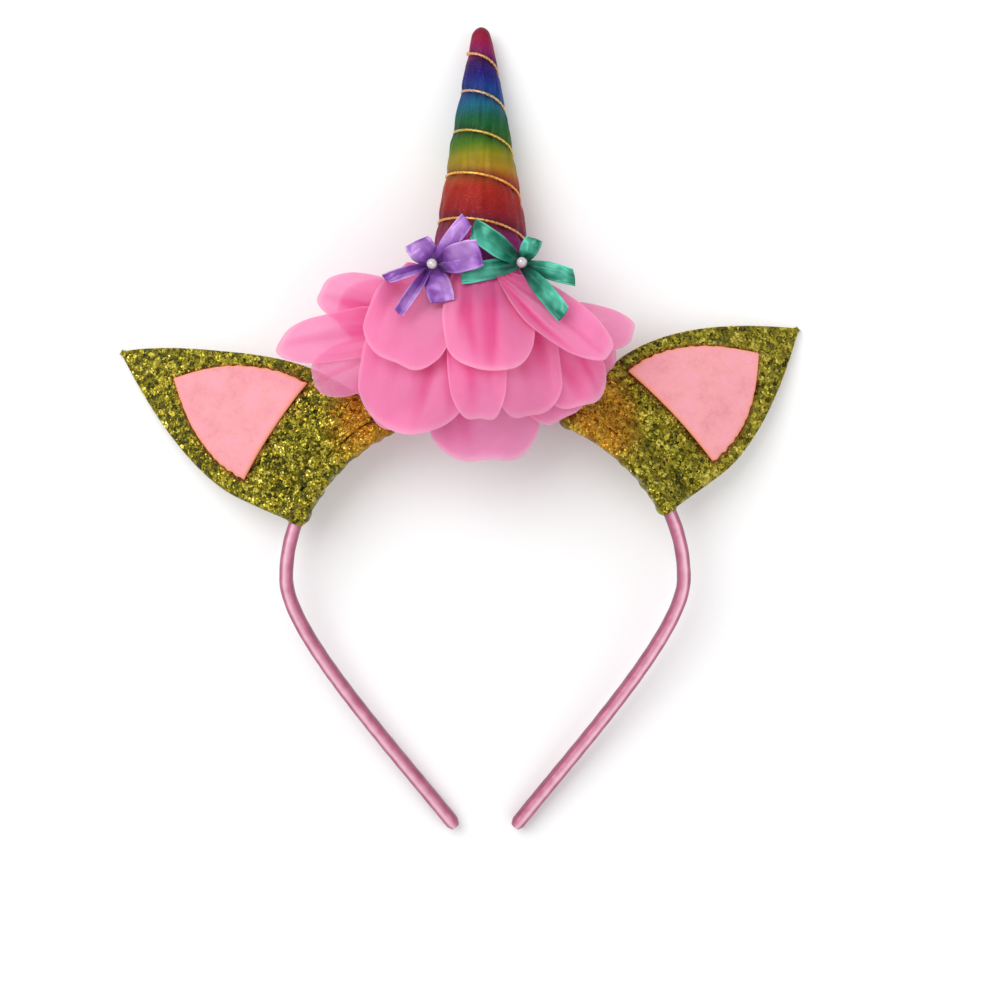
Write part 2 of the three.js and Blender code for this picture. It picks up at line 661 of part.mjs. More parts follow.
// A flower's ribbon: a narrow trough that leaves the knot and ends in a blunt cut.
function ribbonPoint(flower, ribbon, share, across) {
  const centre = flowerCentre(flower);
  const heading = radians(ribbon.heading);
  const length = RIBBON_REACH * ribbon.reach * (1 - RIBBON_CORNER * Math.abs(across));
  const distance = mix(RIBBON_ROOT, length, share);
  const offset = across * ribbonHalfWidth(ribbon, share);
  const height = mix(-RIBBON_SINK, RIBBON_REACH * ribbon.tip, share ** RIBBON_LEVEL)
    + RIBBON_REACH * ribbon.arch * Math.sin(Math.PI * share)
    + RIBBON_CUP * (across * across - 0.5) * Math.sin(Math.PI * share);
  return new THREE.Vector3(
    centre.x + distance * Math.cos(heading) - offset * Math.sin(heading),
    centre.y + distance * Math.sin(heading) + offset * Math.cos(heading),
    centre.z + height,
  );
}

// The knot in which a flower's ribbons are gathered, and the foot that seats it on the horn.
function flowerKnot(flower) {
  const middle = flowerCentre(flower).sub(new THREE.Vector3(0, 0, KNOT_RADIUS));
  const knot = ball(middle, KNOT_RADIUS);
  const fromBase = middle.clone().sub(HORN_BASE).dot(HORN_AXIS);
  const inward = hornPoint(fromBase, 0, 0).sub(middle);
  const length = inward.length() - hornEnvelope(fromBase) - GAP - CORNER_ROOM;
  inward.normalize();
  const side = new THREE.Vector3().crossVectors(inward, HORN_AXIS).normalize();
  const rings = [0, 1].map((share) => {
    const centre = middle.clone().addScaledVector(inward, length * share);
    return Array.from({ length: FOOT_SIDES }, (_, corner) => centre.clone()
      .addScaledVector(side, FOOT_RADIUS * Math.cos((2 * Math.PI * corner) / FOOT_SIDES))
      .addScaledVector(HORN_AXIS, FOOT_RADIUS * Math.sin((2 * Math.PI * corner) / FOOT_SIDES)));
  });
  return toManifold(knot).add(toManifold(loft(rings)));
}

function buildFlower(flower) {
  const ribbons = flower.ribbons.map((ribbon) => (
    toManifold(sheet(6, 2, RIBBON_CLOTH, (s, t) => ribbonPoint(flower, ribbon, s, t)))
  ));
  return fromManifold(ribbons.reduce((whole, ribbon) => whole.add(ribbon), flowerKnot(flower)));
}

function buildPearl(flower) {
  const seat = PEARL_RADIUS + GAP;
  return ball(flowerCentre(flower).add(new THREE.Vector3(0, 0, seat)), PEARL_RADIUS);
}

function ball(centre, radius) {
  const geometry = new THREE.SphereGeometry(radius, 10, 6);
  geometry.deleteAttribute('normal');
  geometry.deleteAttribute('uv');
  geometry.rotateX(Math.PI / 2);
  geometry.translate(centre.x, centre.y, centre.z);
  return mergeVertices(geometry);
}

const object = new THREE.Group();

function add(name, geometry, colour, roughness, metalness) {
  const material = new THREE.MeshStandardMaterial({ color: colour, roughness, metalness, flatShading: true });
  const mesh = new THREE.Mesh(geometry, material);
  mesh.name = name;
  object.add(mesh);
}

add('headband', buildBand(), '#cf8ba8', 0.4, 0);
add('horn', buildHorn(), '#b04a3a', 0.35, 0.4);
add('horn_cord', buildCord(), '#c9a548', 0.35, 0.8);
for (const ear of EARS) {
  add(`ear_${ear.name}`, buildEar(ear), '#a8952a', 0.45, 0.5);
  add(`ear_felt_${ear.name}`, buildFelt(ear), '#f2aab2', 0.95, 0);
}
for (const petal of PETALS) {
  const geometry = sheet(7, 7, PETAL_CLOTH, (s, t) => petalPoint(petal, s, t));
  add(`ruffle_${petal.name}`, geometry, '#f57fb6', 0.8, 0);
}
for (const petal of SIDE_PETALS) {
  const geometry = sheet(7, 6, PETAL_CLOTH, (s, t) => sidePetalPoint(petal, s, t));
  add(`ruffle_side_${petal.name}`, geometry, '#f48fc0', 0.8, 0);
}
for (const petal of BACK_PETALS) {
  const geometry = sheet(5, 5, PETAL_CLOTH, (s, t) => backPetalPoint(petal, s, t));
  add(`ruffle_back_${petal.name}`, geometry, '#f39cc6', 0.8, 0);
}
for (const flower of FLOWERS) {
  add(`flower_${flower.name}_ribbon`, buildFlower(flower), flower.colour, 0.35, 0);
  add(`flower_${flower.name}_pearl`, buildPearl(flower), '#f3ece6', 0.2, 0);
}

// The origin is under the middle of the whole object, on the table.
const box = new THREE.Box3().setFromObject(object, true);
const middle = box.getCenter(new THREE.Vector3());
object.position.set(-middle.x, -middle.y, -box.min.z);

export default object;
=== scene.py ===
import math

import bpy
import numpy as np
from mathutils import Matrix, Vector


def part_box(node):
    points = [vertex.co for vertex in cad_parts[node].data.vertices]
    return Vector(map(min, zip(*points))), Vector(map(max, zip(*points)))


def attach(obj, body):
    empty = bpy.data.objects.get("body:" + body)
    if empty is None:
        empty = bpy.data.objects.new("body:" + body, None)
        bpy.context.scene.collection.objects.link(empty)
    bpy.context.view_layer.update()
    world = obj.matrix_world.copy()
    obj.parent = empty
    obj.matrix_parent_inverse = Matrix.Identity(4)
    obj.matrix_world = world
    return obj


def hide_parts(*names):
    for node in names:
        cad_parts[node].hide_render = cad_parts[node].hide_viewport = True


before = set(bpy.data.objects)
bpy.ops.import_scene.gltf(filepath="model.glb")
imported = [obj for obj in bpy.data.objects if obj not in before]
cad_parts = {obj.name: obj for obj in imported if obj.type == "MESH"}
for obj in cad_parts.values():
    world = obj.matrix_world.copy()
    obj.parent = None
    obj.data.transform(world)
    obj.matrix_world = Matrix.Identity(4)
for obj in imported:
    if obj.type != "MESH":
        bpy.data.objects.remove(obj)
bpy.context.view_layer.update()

# Sizes in millimetres, close to the frame's. Some of them, and of the tables' rows, were moved a little
# against the photo.
GAP = 0.3
CORNER_ROOM = 0.4
SLOPE_ROOM = 0.8
BAND_SPAN, BAND_DEPTH, BAND_SHOULDER, BAND_MOUTH = 128, 136, 56, 19
BAND_BROAD, BAND_THICK = 6, 3.2
HORN_LENGTH, HORN_BASE_RADIUS, HORN_TIP_RADIUS = 118.5, 21, 2.6
HORN_SIDE, HORN_BELLY, HORN_TIP_LIFT, HORN_TIP_ROUNDING = -1.2, 1.1, 0.5, 1.2
CORD_THICK, CORD_START, CORD_PITCH, CORD_PITCH_GROWTH, CORD_TURNS = 1.2, 7.8, 12.2, 0.8, 4.8
GROOVE_DEPTH, GROOVE_SHARE, GROOVE_SHARPNESS, GROOVE_RUN_OUT = 1, 0.36, 1.6, 0.35
EAR_LENGTH, EAR_WIDTH, EAR_FOLD_WIDTH, EAR_PEAK, EAR_TAPER = 78, 48.8, 46, 0.30, 1.65
EAR_CLOTH, EAR_WRAP_WALL, EAR_CROWN, EAR_TIP_WIDTH, EAR_FOLD_BLEND = 2.2, 1.5, 1.4, 1.6, 3
FELT_HEIGHT, FELT_WIDTH, FELT_START, FELT_CLOTH = 36, 37, 22, 1.2
FELT_TAPER, FELT_TIP_SHARE = 2.1, 0.03
PETAL_REACH, PETAL_CLOTH, PETAL_BREADTH = 36, 1, 30
PETAL_SWELL, PETAL_CORNER, PETAL_CURL, CURL_START = 0.6, 0.28, 0.5, 0.75
ROW_SIDE_RUN, SIDE_RISE, BACK_FALL = 8, 0.40, 1.5
RUFFLE_CLEARANCE, RUFFLE_OVER_BAND, RUFFLE_DROOP, RUFFLE_SHOULDER = 0.8, 0.6, 0.25, 0.62
RUFFLE_BLEND, RUFFLE_FALL, RUFFLE_FALL_RUN, RUFFLE_LEVEL_RUN = 2, 16, 20, 1.6
PLEAT_COUNT, PLEAT_HEIGHT = 9, 0.9
FLOWER_HEIGHT, RIBBON_WIDTH, RIBBON_REACH = 6, 8, 20
RIBBON_SINK, RIBBON_LEVEL = 1.2, 1.2
PEARL_RADIUS = 2

LAYER_PITCH = PETAL_CLOTH + GAP + SLOPE_ROOM

# What the frame leaves out: the horn's cloth pinched by its cord, the cord's strands, its lag towards the
# band and its knot, the pearls' own size, the satin on the band, and the lumps and puckers of the ears.
PINCH_DEPTH, PINCH_SHARPNESS, TWIST_THICK = 0.45, 3, 0.9
BEAD_RADIUS = 1.6
CORD_ARCH, CORD_KNOT, SATIN_PLY = 1.3, 0.9, 0.55
LUMP_WAVE, LUMP_DEPTH, FINE_LUMP_WAVE, FINE_LUMP_DEPTH = 16, 0.35, 6, 0.12
PUCKER_DEPTH, PUCKER_MIDDLE, PUCKER_RUN, PUCKER_WAVE = 0.35, 7, 4, 5
EAR_SHEET_START, FELT_OUTLINE_WIDTH = 0.035, 1.1


def table(columns, *rows):
    return [dict(zip(columns.split(), row)) for row in rows]


EARS = table(
    "name side arc heading reach bend felt flat",
    ("left", -1, 51.7, 152.1, 1, 0.028, 1, 0.17),
    ("right", 1, 47.7, 40.7, 0.88, 0.13, 1.06, 0),
)
ROWS = table(
    "name along floor rise inner",
    ("front", 0.278, 5, 0.48, 1.14),
    ("middle", 0.200, 2, 0.30, 0.57),
    ("under", 0.125, 0, 0.30, 0.57),
)
PETALS = table(
    "name row around heading reach breadth root layer",
    ("front_left", "front", 150, -113, 0.78, 0.92, 0.75, 5),
    ("front_centre", "front", 84, -87, 0.84, 0.92, 0.80, 6),
    ("front_right", "front", 70, -37, 1.12, 0.50, 0.20, 7),
    ("middle_left", "middle", 147, -101, 1.05, 1.18, 0.55, 2),
    ("middle_centre", "middle", 96, -87, 1.00, 0.60, 0.60, 4),
    ("middle_right", "middle", 60, -79, 0.96, 0.76, 0.50, 3),
    ("middle_far_right", "middle", 33, -60, 0.93, 0.78, 0.35, 2),
    ("under_left", "under", 141, -111, 0.86, 0.80, 0.35, 1),
    ("under_centre", "under", 92, -86, 1.10, 1.22, 0.60, 0),
    ("under_right", "under", 38, -68, 0.74, 0.80, 0.40, 1),
)
SIDE_PETALS = table(
    "name around along heading reach breadth root layer",
    ("right_upper", 14, 0.190, -11, 0.80, 0.46, 0.30, 1),
    ("right_lower", -2, 0.170, -30, 0.66, 0.58, 0.06, 0),
    ("left_upper", 190, 0.205, 166, 0.88, 0.58, 0.20, 0),
    ("left_middle", 159, 0.173, -171, 1.25, 0.52, 0.12, 1),
    ("left_lower", 184, 0.125, -161, 0.94, 0.56, 0.20, 0),
)
BACK_PETALS = table(
    "name around along heading reach breadth root",
    ("right", -25, 0.180, -12, 0.60, 0.60, 0.22),
    ("left", 205, 0.222, 173, 0.80, 0.72, 0.22),
    ("left_lower", 213, 0.090, -149, 0.70, 0.66, 0.12),
    ("right_lower", -33, 0.090, -25, 0.70, 0.75, 0.12),
)
LILAC_RIBBONS = table(
    "heading reach width tip arch",
    (51, 0.86, 0.66, 0.15, 0.07),
    (12, 0.76, 1.15, 0.25, 0.015),
    (124, 0.44, 1.05, -0.075, 0.04),
    (197, 0.75, 0.45, -0.08, 0.06),
    (237, 0.92, 0.45, 0.33, 0.06),
    (286, 0.62, 1.00, 0.26, 0.04),
)
TEAL_RIBBONS = table(
    "heading reach width tip arch",
    (145, 0.92, 0.85, 0.05, 0.05),
    (192, 0.94, 0.75, 0.075, 0.06),
    (62, 0.42, 0.70, 0.02, 0.03),
    (-17, 0.84, 0.66, 0.18, 0.06),
    (-53, 1.05, 0.70, 0.48, 0.07),
)
FLOWERS = table(
    "name across along ribbons",
    ("lilac", -0.70, 0.331, LILAC_RIBBONS),
    ("teal", 0.595, 0.335, TEAL_RIBBONS),
)


def mix(a, b, share):
    return a + (b - a) * share


def smooth(share):
    held = np.clip(share, 0, 1)
    return held * held * (3 - 2 * held)


def vec(x, y, z):
    x, y, z = np.broadcast_arrays(x, y, z)
    return np.stack([x, y, z], axis=-1).astype(float)


HORN_LEAN = math.asin((HORN_BASE_RADIUS - HORN_TIP_RADIUS - HORN_TIP_LIFT) / HORN_LENGTH)


def horn_envelope(from_base):
    share = np.clip(from_base / HORN_LENGTH, 0, 1)
    return mix(HORN_BASE_RADIUS, HORN_TIP_RADIUS, share) + HORN_BELLY * np.sin(np.pi * share)


def groove_depth(from_base):
    return np.minimum(GROOVE_DEPTH, GROOVE_SHARE * horn_envelope(from_base))


def cord_radius(from_base):
    facet_room = horn_envelope(from_base) * (1 - math.cos(math.pi / 18))
    floor = horn_envelope(from_base) - groove_depth(from_base)
    return floor + GAP + CORNER_ROOM / 2 + facet_room + CORD_THICK / 2


def horn_base_height():
    from_base = HORN_LENGTH * np.arange(41) / 40
    outside = cord_radius(from_base) + CORD_THICK / 2
    return float(np.max(from_base * math.sin(HORN_LEAN) + outside * math.cos(HORN_LEAN)))


HORN_SEAT = GAP + BAND_BROAD / 2 * math.sin(HORN_LEAN) + CORNER_ROOM / 2
HORN_BASE = vec(HORN_SIDE, HORN_SEAT, horn_base_height())
HORN_AXIS = vec(0, math.cos(HORN_LEAN), -math.sin(HORN_LEAN))
HORN_UP = vec(0, math.sin(HORN_LEAN), math.cos(HORN_LEAN))
BAND_TILT = math.asin((HORN_BASE[2] - BAND_BROAD / 2) / BAND_DEPTH)
BAND_UP = vec(0, -math.sin(BAND_TILT), math.cos(BAND_TILT))
BAND_TO_ENDS = vec(0, -math.cos(BAND_TILT), -math.sin(BAND_TILT))
BAND_CROWN = vec(0, -BAND_THICK / 2, HORN_BASE[2])
PETAL_SEAT = GAP + CORNER_ROOM + PETAL_CLOTH / 2


def horn_point(from_base, around, radius):
    around = np.radians(around)
    from_base, around, radius = np.broadcast_arrays(from_base, around, radius)
    sideways = vec(1, 0, 0)
    return (HORN_BASE + from_base[..., None] * HORN_AXIS
            + (radius * np.cos(around))[..., None] * sideways
            + (radius * np.sin(around))[..., None] * HORN_UP)


def cord_from_tip(turn):
    return CORD_START + CORD_PITCH * turn + CORD_PITCH_GROWTH / 2 * turn * turn


def cord_turn_at(from_tip):
    inside = CORD_PITCH ** 2 + 2 * CORD_PITCH_GROWTH * (from_tip - CORD_START)
    return (np.sqrt(np.maximum(inside, 0)) - CORD_PITCH) / CORD_PITCH_GROWTH


def cord_arch(around):
    """The cord's place along the horn at each angle, against its place at the front; 0 or less."""
    return CORD_ARCH * (np.sin(np.radians(around)) - 1)


def horn_press(from_base, around):
    """How far the cord presses in at a point of the horn, from 0 to 1."""
    turn = cord_turn_at(HORN_LENGTH - from_base + cord_arch(around))
    press = (0.5 + 0.5 * np.cos(2 * np.pi * (turn - (180 - around) / 360))) ** GROOVE_SHARPNESS
    return press * (1 - smooth((turn - CORD_TURNS) / GROOVE_RUN_OUT))


def band_table():
    """Plane position and arc length of many points along the band's right half."""
    half_span = (BAND_SPAN - BAND_THICK) / 2
    roundness = 0.5523
    leg_run = BAND_DEPTH - BAND_SHOULDER
    quarter = [(0, 0), (half_span * roundness, 0), (half_span, BAND_SHOULDER * (1 - roundness)),
               (half_span, BAND_SHOULDER)]
    leg = [(half_span, BAND_SHOULDER), (half_span, BAND_SHOULDER + 0.21 * leg_run),
           (mix(BAND_MOUTH / 2, half_span, 0.4), BAND_SHOULDER + 0.66 * leg_run),
           (BAND_MOUTH / 2, BAND_DEPTH)]
    places = []
    for corners in (quarter, leg):
        t = np.linspace(0, 1, 401)[:, None]
        p0, p1, p2, p3 = (np.array(corner, float) for corner in corners)
        curve = (1 - t) ** 3 * p0 + 3 * (1 - t) ** 2 * t * p1 + 3 * (1 - t) * t * t * p2 + t ** 3 * p3
        places.append(curve if not places else curve[1:])
    plane = np.concatenate(places)
    arc = np.concatenate([[0], np.cumsum(np.hypot(*np.diff(plane, axis=0).T))])
    return plane, arc


BAND_PLANE, BAND_ARC = band_table()
BAND_HALF_LENGTH = BAND_ARC[-1]


def band_frame(distance):
    """Centre and outward direction at distances along the band, negative on the left half."""
    distance = np.asarray(distance, float)
    side = np.where(distance < 0, -1, 1)

    def centre_at(arc):
        across = np.interp(arc, BAND_ARC, BAND_PLANE[:, 0])
        to_ends = np.interp(arc, BAND_ARC, BAND_PLANE[:, 1])
        return across, to_ends

    reach = np.clip(np.abs(distance), 0, BAND_HALF_LENGTH)
    x, y = centre_at(reach)
    x0, y0 = centre_at(np.clip(reach - 0.6, 0, BAND_HALF_LENGTH))
    x1, y1 = centre_at(np.clip(reach + 0.6, 0, BAND_HALF_LENGTH))
    run = np.hypot(x1 - x0, y1 - y0)
    tx, ty = (x1 - x0) / run, (y1 - y0) / run
    centre = BAND_CROWN + y[..., None] * BAND_TO_ENDS
    centre[..., 0] = side * x
    outward = -tx[..., None] * BAND_TO_ENDS
    outward[..., 0] = side * ty
    return centre, outward


def ear_share(share):
    share = np.asarray(share, float)
    near = mix(EAR_FOLD_WIDTH / EAR_WIDTH, 1, np.sin(np.pi / 2 * np.clip(share / EAR_PEAK, 0, 1)))
    far = 1 - np.clip((share - EAR_PEAK) / (1 - EAR_PEAK), 0, 1) ** EAR_TAPER
    return np.where(share < EAR_PEAK, near, np.maximum(far, EAR_TIP_WIDTH / EAR_WIDTH))


def ear_point(ear, share, across):
    share, across = np.broadcast_arrays(np.asarray(share, float), np.asarray(across, float))
    heading = math.radians(ear["heading"])
    sideways = heading - ear["side"] * math.pi / 2
    middle, _ = band_frame(ear["side"] * ear["arc"])
    offset = across * EAR_FOLD_WIDTH / 2
    fold, _ = band_frame(ear["side"] * (ear["arc"] + offset))
    half_width = EAR_WIDTH / 2 * ear_share(share)
    blend = (1 - share) ** EAR_FOLD_BLEND
    run = EAR_LENGTH * ear["reach"] * share
    trimmed = 1 - ear["flat"] * np.sin(np.pi * share ** 2) * across ** 4 * (across < 0)
    offset_out = across * half_width * trimmed + EAR_WIDTH * ear["bend"] * share * share
    x = middle[..., 0] + run * math.cos(heading) + offset_out * math.cos(sideways)
    x = x + (fold[..., 0] - middle[..., 0] - offset * math.cos(sideways)) * blend
    y = middle[..., 1] + run * math.sin(heading) + offset_out * math.sin(sideways)
    y = y + (fold[..., 1] - middle[..., 1] - offset * math.sin(sideways)) * blend
    z = mix(fold[..., 2], EAR_CLOTH / 2, share) + EAR_CROWN * np.sin(np.pi * share) * (1 - across ** 2)
    return vec(x, y, z)


def horn_front(y):
    level = (y - HORN_BASE[1]) / math.cos(HORN_LEAN)
    from_base = level - horn_envelope(level) * math.tan(HORN_LEAN)
    return horn_point(from_base, 90, horn_envelope(from_base))[..., 2]


def side_drop(x, radius):
    across = np.abs(x) / radius
    shoulder = math.sqrt(1 - RUFFLE_SHOULDER ** 2)
    over_top = radius * (1 - np.sqrt(np.clip(1 - across ** 2, 0, 1)))
    beside = radius * (1 - shoulder + RUFFLE_SHOULDER / shoulder * (across - RUFFLE_SHOULDER))
    return np.where(across < RUFFLE_SHOULDER, over_top, beside)


def ruffle_bed(x, y):
    aside = x - HORN_SIDE
    brow = HORN_BASE[1] + HORN_BASE_RADIUS * math.sin(HORN_LEAN)
    past = np.maximum(brow - y, 0) / RUFFLE_FALL_RUN
    ridge = horn_front(np.maximum(y, brow)) - RUFFLE_FALL * (1 - np.exp(-past * past))
    from_base = (y - HORN_BASE[1]) / math.cos(HORN_LEAN)
    over = ridge - side_drop(aside, horn_envelope(from_base) + PETAL_SEAT)
    wrap_top = BAND_CROWN[2] + BAND_BROAD / 2 + GAP + EAR_WRAP_WALL + RUFFLE_OVER_BAND
    side = wrap_top - RUFFLE_DROOP * np.maximum(np.abs(x) - HORN_BASE_RADIUS * RUFFLE_LEVEL_RUN, 0)
    bed = side + RUFFLE_BLEND * np.log1p(np.exp((over - side) / RUFFLE_BLEND))
    from_middle = np.hypot(aside, y - HORN_BASE_RADIUS)
    pleat = smooth((from_middle - HORN_BASE_RADIUS) / (PETAL_REACH - HORN_BASE_RADIUS))
    wave = np.cos(PLEAT_COUNT * np.arctan2(y - HORN_BASE_RADIUS, aside))
    return bed + RUFFLE_CLEARANCE + PLEAT_HEIGHT * pleat * wave


def petal_root(petal, along):
    from_base = along * HORN_LENGTH
    return horn_point(from_base, petal["around"], horn_envelope(from_base) + PETAL_SEAT)


def petal_plan(petal, root, share, across):
    heading = math.radians(petal["heading"])
    distance = share * petal["reach"] * PETAL_REACH * (1 - PETAL_CORNER * np.abs(across) ** 3)
    swell = np.sin(np.pi / 2 * np.minimum(share / PETAL_SWELL, 1))
    offset = across * PETAL_BREADTH / 2 * petal["breadth"] * mix(petal["root"], 1, swell)
    x = root[0] + distance * math.cos(heading) - offset * math.sin(heading)
    y = root[1] + distance * math.sin(heading) + offset * math.cos(heading)
    return x, y, distance


def petal_curl(share):
    return PETAL_CURL * np.maximum((share - CURL_START) / (1 - CURL_START), 0) ** 2


def row_petal(petal, share, across):
    row = next(row for row in ROWS if row["name"] == petal["row"])
    x, y, _ = petal_plan(petal, petal_root(petal, row["along"]), share, across)
    seam = horn_point(row["along"] * HORN_LENGTH, 90, HORN_BASE_RADIUS)[1]
    sewn = 1 - smooth((seam - y) / (row["rise"] * PETAL_REACH))
    inner = 1 - smooth((np.abs(x - HORN_SIDE) - row["inner"] * HORN_BASE_RADIUS) / ROW_SIDE_RUN)
    layers = petal["layer"] - row["floor"] * sewn * inner
    z = ruffle_bed(x, y) + PETAL_CLOTH / 2 + layers * LAYER_PITCH + petal_curl(share)
    return vec(x, y, z)


def side_petal(petal, share, across):
    root = petal_root(petal, petal["along"])
    x, y, distance = petal_plan(petal, root, share, across)
    risen = smooth(distance / (SIDE_RISE * PETAL_REACH))
    laid = ruffle_bed(x, y) + PETAL_CLOTH / 2 + petal["layer"] * LAYER_PITCH
    return vec(x, y, mix(root[2], laid, risen) + petal_curl(share))


def back_petal(petal, share, across):
    root = petal_root(petal, petal["along"])
    x, y, _ = petal_plan(petal, root, share, across)
    return vec(x, y, mix(PETAL_CLOTH / 2, root[2], np.maximum(1 - share, 0) ** BACK_FALL))


def flower_centre(flower):
    y = flower["along"] * HORN_LENGTH
    return vec(HORN_SIDE + flower["across"] * HORN_BASE_RADIUS, y, horn_front(y) + FLOWER_HEIGHT)


def pearl_centre(flower):
    return flower_centre(flower) + vec(0, 0, PEARL_RADIUS + GAP)


def frame_shift():
    """From the band-centred frame of the tables to the model's own frame."""
    low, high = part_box("flower_lilac_pearl")
    middle = np.array((low + high) / 2) * 1000
    return middle - pearl_centre(FLOWERS[0])


SHIFT = frame_shift()


def ripple(x, y, wavelength, seed):
    """Smooth seeded noise from about -1 to 1 over a plane."""
    rng = np.random.default_rng(seed)
    total = 0
    for _ in range(5):
        angle, phase = rng.uniform(0, 2 * math.pi, 2)
        wave = wavelength * rng.uniform(0.7, 1.5)
        total = total + np.sin((x * math.cos(angle) + y * math.sin(angle)) * 2 * math.pi / wave + phase)
    return total / 2.6


def grid_faces(rows, columns, closed=False, start=0):
    faces = []
    last = columns if closed else columns - 1
    for row in range(rows - 1):
        for column in range(last):
            a = start + row * columns + column
            b = start + row * columns + (column + 1) % columns
            faces.append((a, b, b + columns, a + columns))
    return faces


def make_piece(name, points, faces, nodes, material, values=None):
    """An object from points in millimetres, riding on the frame in the place of CAD nodes."""
    mesh = bpy.data.meshes.new(name)
    mesh.from_pydata(((np.asarray(points).reshape(-1, 3) + SHIFT) / 1000).tolist(), [], faces)
    mesh.update()
    for key, numbers in (values or {}).items():
        layer = mesh.attributes.new(key, "FLOAT", "POINT")
        layer.data.foreach_set("value", np.asarray(numbers, np.float32).ravel())
    mesh.shade_smooth()
    piece = bpy.data.objects.new(name, mesh)
    bpy.context.scene.collection.objects.link(piece)
    mesh.materials.append(material)
    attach(piece, "root")
    if nodes:
        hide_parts(*nodes)
    return piece


def thick_sheet(points, thickness, round_rim=True):
    """Points and faces of a closed sheet round a grid of middle points, with a rounded rim."""
    rows, columns = points.shape[:2]
    du = np.gradient(points, axis=0)
    dv = np.gradient(points, axis=1)
    normal = np.cross(du, dv)
    normal /= np.maximum(np.linalg.norm(normal, axis=-1, keepdims=True), 1e-9)
    if normal[..., 2].mean() < 0:
        normal = -normal
    half = np.full((rows, columns), thickness / 2)
    if round_rim:
        u = np.minimum(np.arange(rows), np.arange(rows)[::-1])[:, None]
        v = np.minimum(np.arange(columns), np.arange(columns)[::-1])[None, :]
        half = half * np.where(np.minimum(u, v) == 0, 0.55, 1.0)
    top = points + normal * half[..., None]
    bottom = points - normal * half[..., None]
    count = rows * columns
    faces = grid_faces(rows, columns)
    faces += [tuple(reversed([count + index for index in face])) for face in grid_faces(rows, columns)]
    loop = list(range(columns))
    loop += [row * columns + columns - 1 for row in range(1, rows)]
    loop += [(rows - 1) * columns + column for column in range(columns - 2, -1, -1)]
    loop += [row * columns for row in range(rows - 2, 0, -1)]
    for index, a in enumerate(loop):
        b = loop[(index + 1) % len(loop)]
        faces.append((b, a, count + a, count + b))
    return np.concatenate([top.reshape(-1, 3), bottom.reshape(-1, 3)]), faces


def tube(centres, ups, sides, section):
    """Points and faces of a closed tube: section(index) gives (up, side) offsets round the ring."""
    rings = []
    for index in range(len(centres)):
        offsets = section(index)
        rings.append(centres[index] + offsets[:, :1] * ups[index] + offsets[:, 1:] * sides[index])
    rings = np.array(rings)
    count, round_count = rings.shape[:2]
    faces = grid_faces(count, round_count, closed=True)
    points = rings.reshape(-1, 3)
    points = np.concatenate([points, rings[0].mean(0)[None], rings[-1].mean(0)[None]])
    first, last = len(points) - 2, len(points) - 1
    for column in range(round_count):
        after = (column + 1) % round_count
        faces.append((first, after, column))
        faces.append((last, (count - 1) * round_count + column, (count - 1) * round_count + after))
    return points, faces


def srgb(red, green, blue):
    def linear(value):
        value /= 255
        return value / 12.92 if value <= 0.04045 else ((value + 0.055) / 1.055) ** 2.4
    return (linear(red), linear(green), linear(blue), 1.0)


class Shader:
    """A node material that is built one node at a time."""

    def __init__(self, name):
        self.material = bpy.data.materials.new(name)
        self.material.use_nodes = True
        self.tree = self.material.node_tree
        self.tree.nodes.clear()
        self.place = self.add("ShaderNodeTexCoord").outputs["Object"]

    def add(self, kind, inputs=None, **settings):
        made = self.tree.nodes.new(kind)
        for key, value in settings.items():
            setattr(made, key, value)
        for key, value in (inputs or {}).items():
            if isinstance(value, bpy.types.NodeSocket):
                self.tree.links.new(value, made.inputs[key])
            else:
                made.inputs[key].default_value = value
        return made

    def value(self, name):
        return self.add("ShaderNodeAttribute", attribute_name=name).outputs["Fac"]

    def ramp(self, factor, stops, interpolation="LINEAR"):
        made = self.add("ShaderNodeValToRGB", {0: factor})
        made.color_ramp.interpolation = interpolation
        elements = made.color_ramp.elements
        elements[0].position, elements[0].color = stops[0]
        elements[1].position, elements[1].color = stops[-1]
        for position, colour in stops[1:-1]:
            elements.new(position).color = colour
        return made.outputs[0]

    def math(self, operation, a, b=0.0):
        return self.add("ShaderNodeMath", {0: a, 1: b}, operation=operation).outputs[0]

    def blend(self, factor, a, b, mode="MIX"):
        made = self.add("ShaderNodeMix", data_type="RGBA", blend_type=mode)
        for key, value in ((0, factor), (6, a), (7, b)):
            if isinstance(value, bpy.types.NodeSocket):
                self.tree.links.new(value, made.inputs[key])
            else:
                made.inputs[key].default_value = value
        return made.outputs[2]

    def noise(self, scale, detail=3.0, roughness=0.5, vector=None):
        made = self.add("ShaderNodeTexNoise", {
            "Vector": vector or self.place, "Scale": scale, "Detail": detail, "Roughness": roughness})
        return made.outputs["Fac"]

    def stretched(self, scale, rotation=(0, 0, 0)):
        return self.add("ShaderNodeMapping", {
            "Vector": self.place, "Scale": scale, "Rotation": rotation}).outputs[0]

    def bump(self, height, distance, strength=1.0, normal=None):
        inputs = {"Height": height, "Distance": distance, "Strength": strength}
        if normal is not None:
            inputs["Normal"] = normal
        return self.add("ShaderNodeBump", inputs).outputs[0]

    def finish(self, surface):
        self.add("ShaderNodeOutputMaterial", {"Surface": surface})
        return self.material


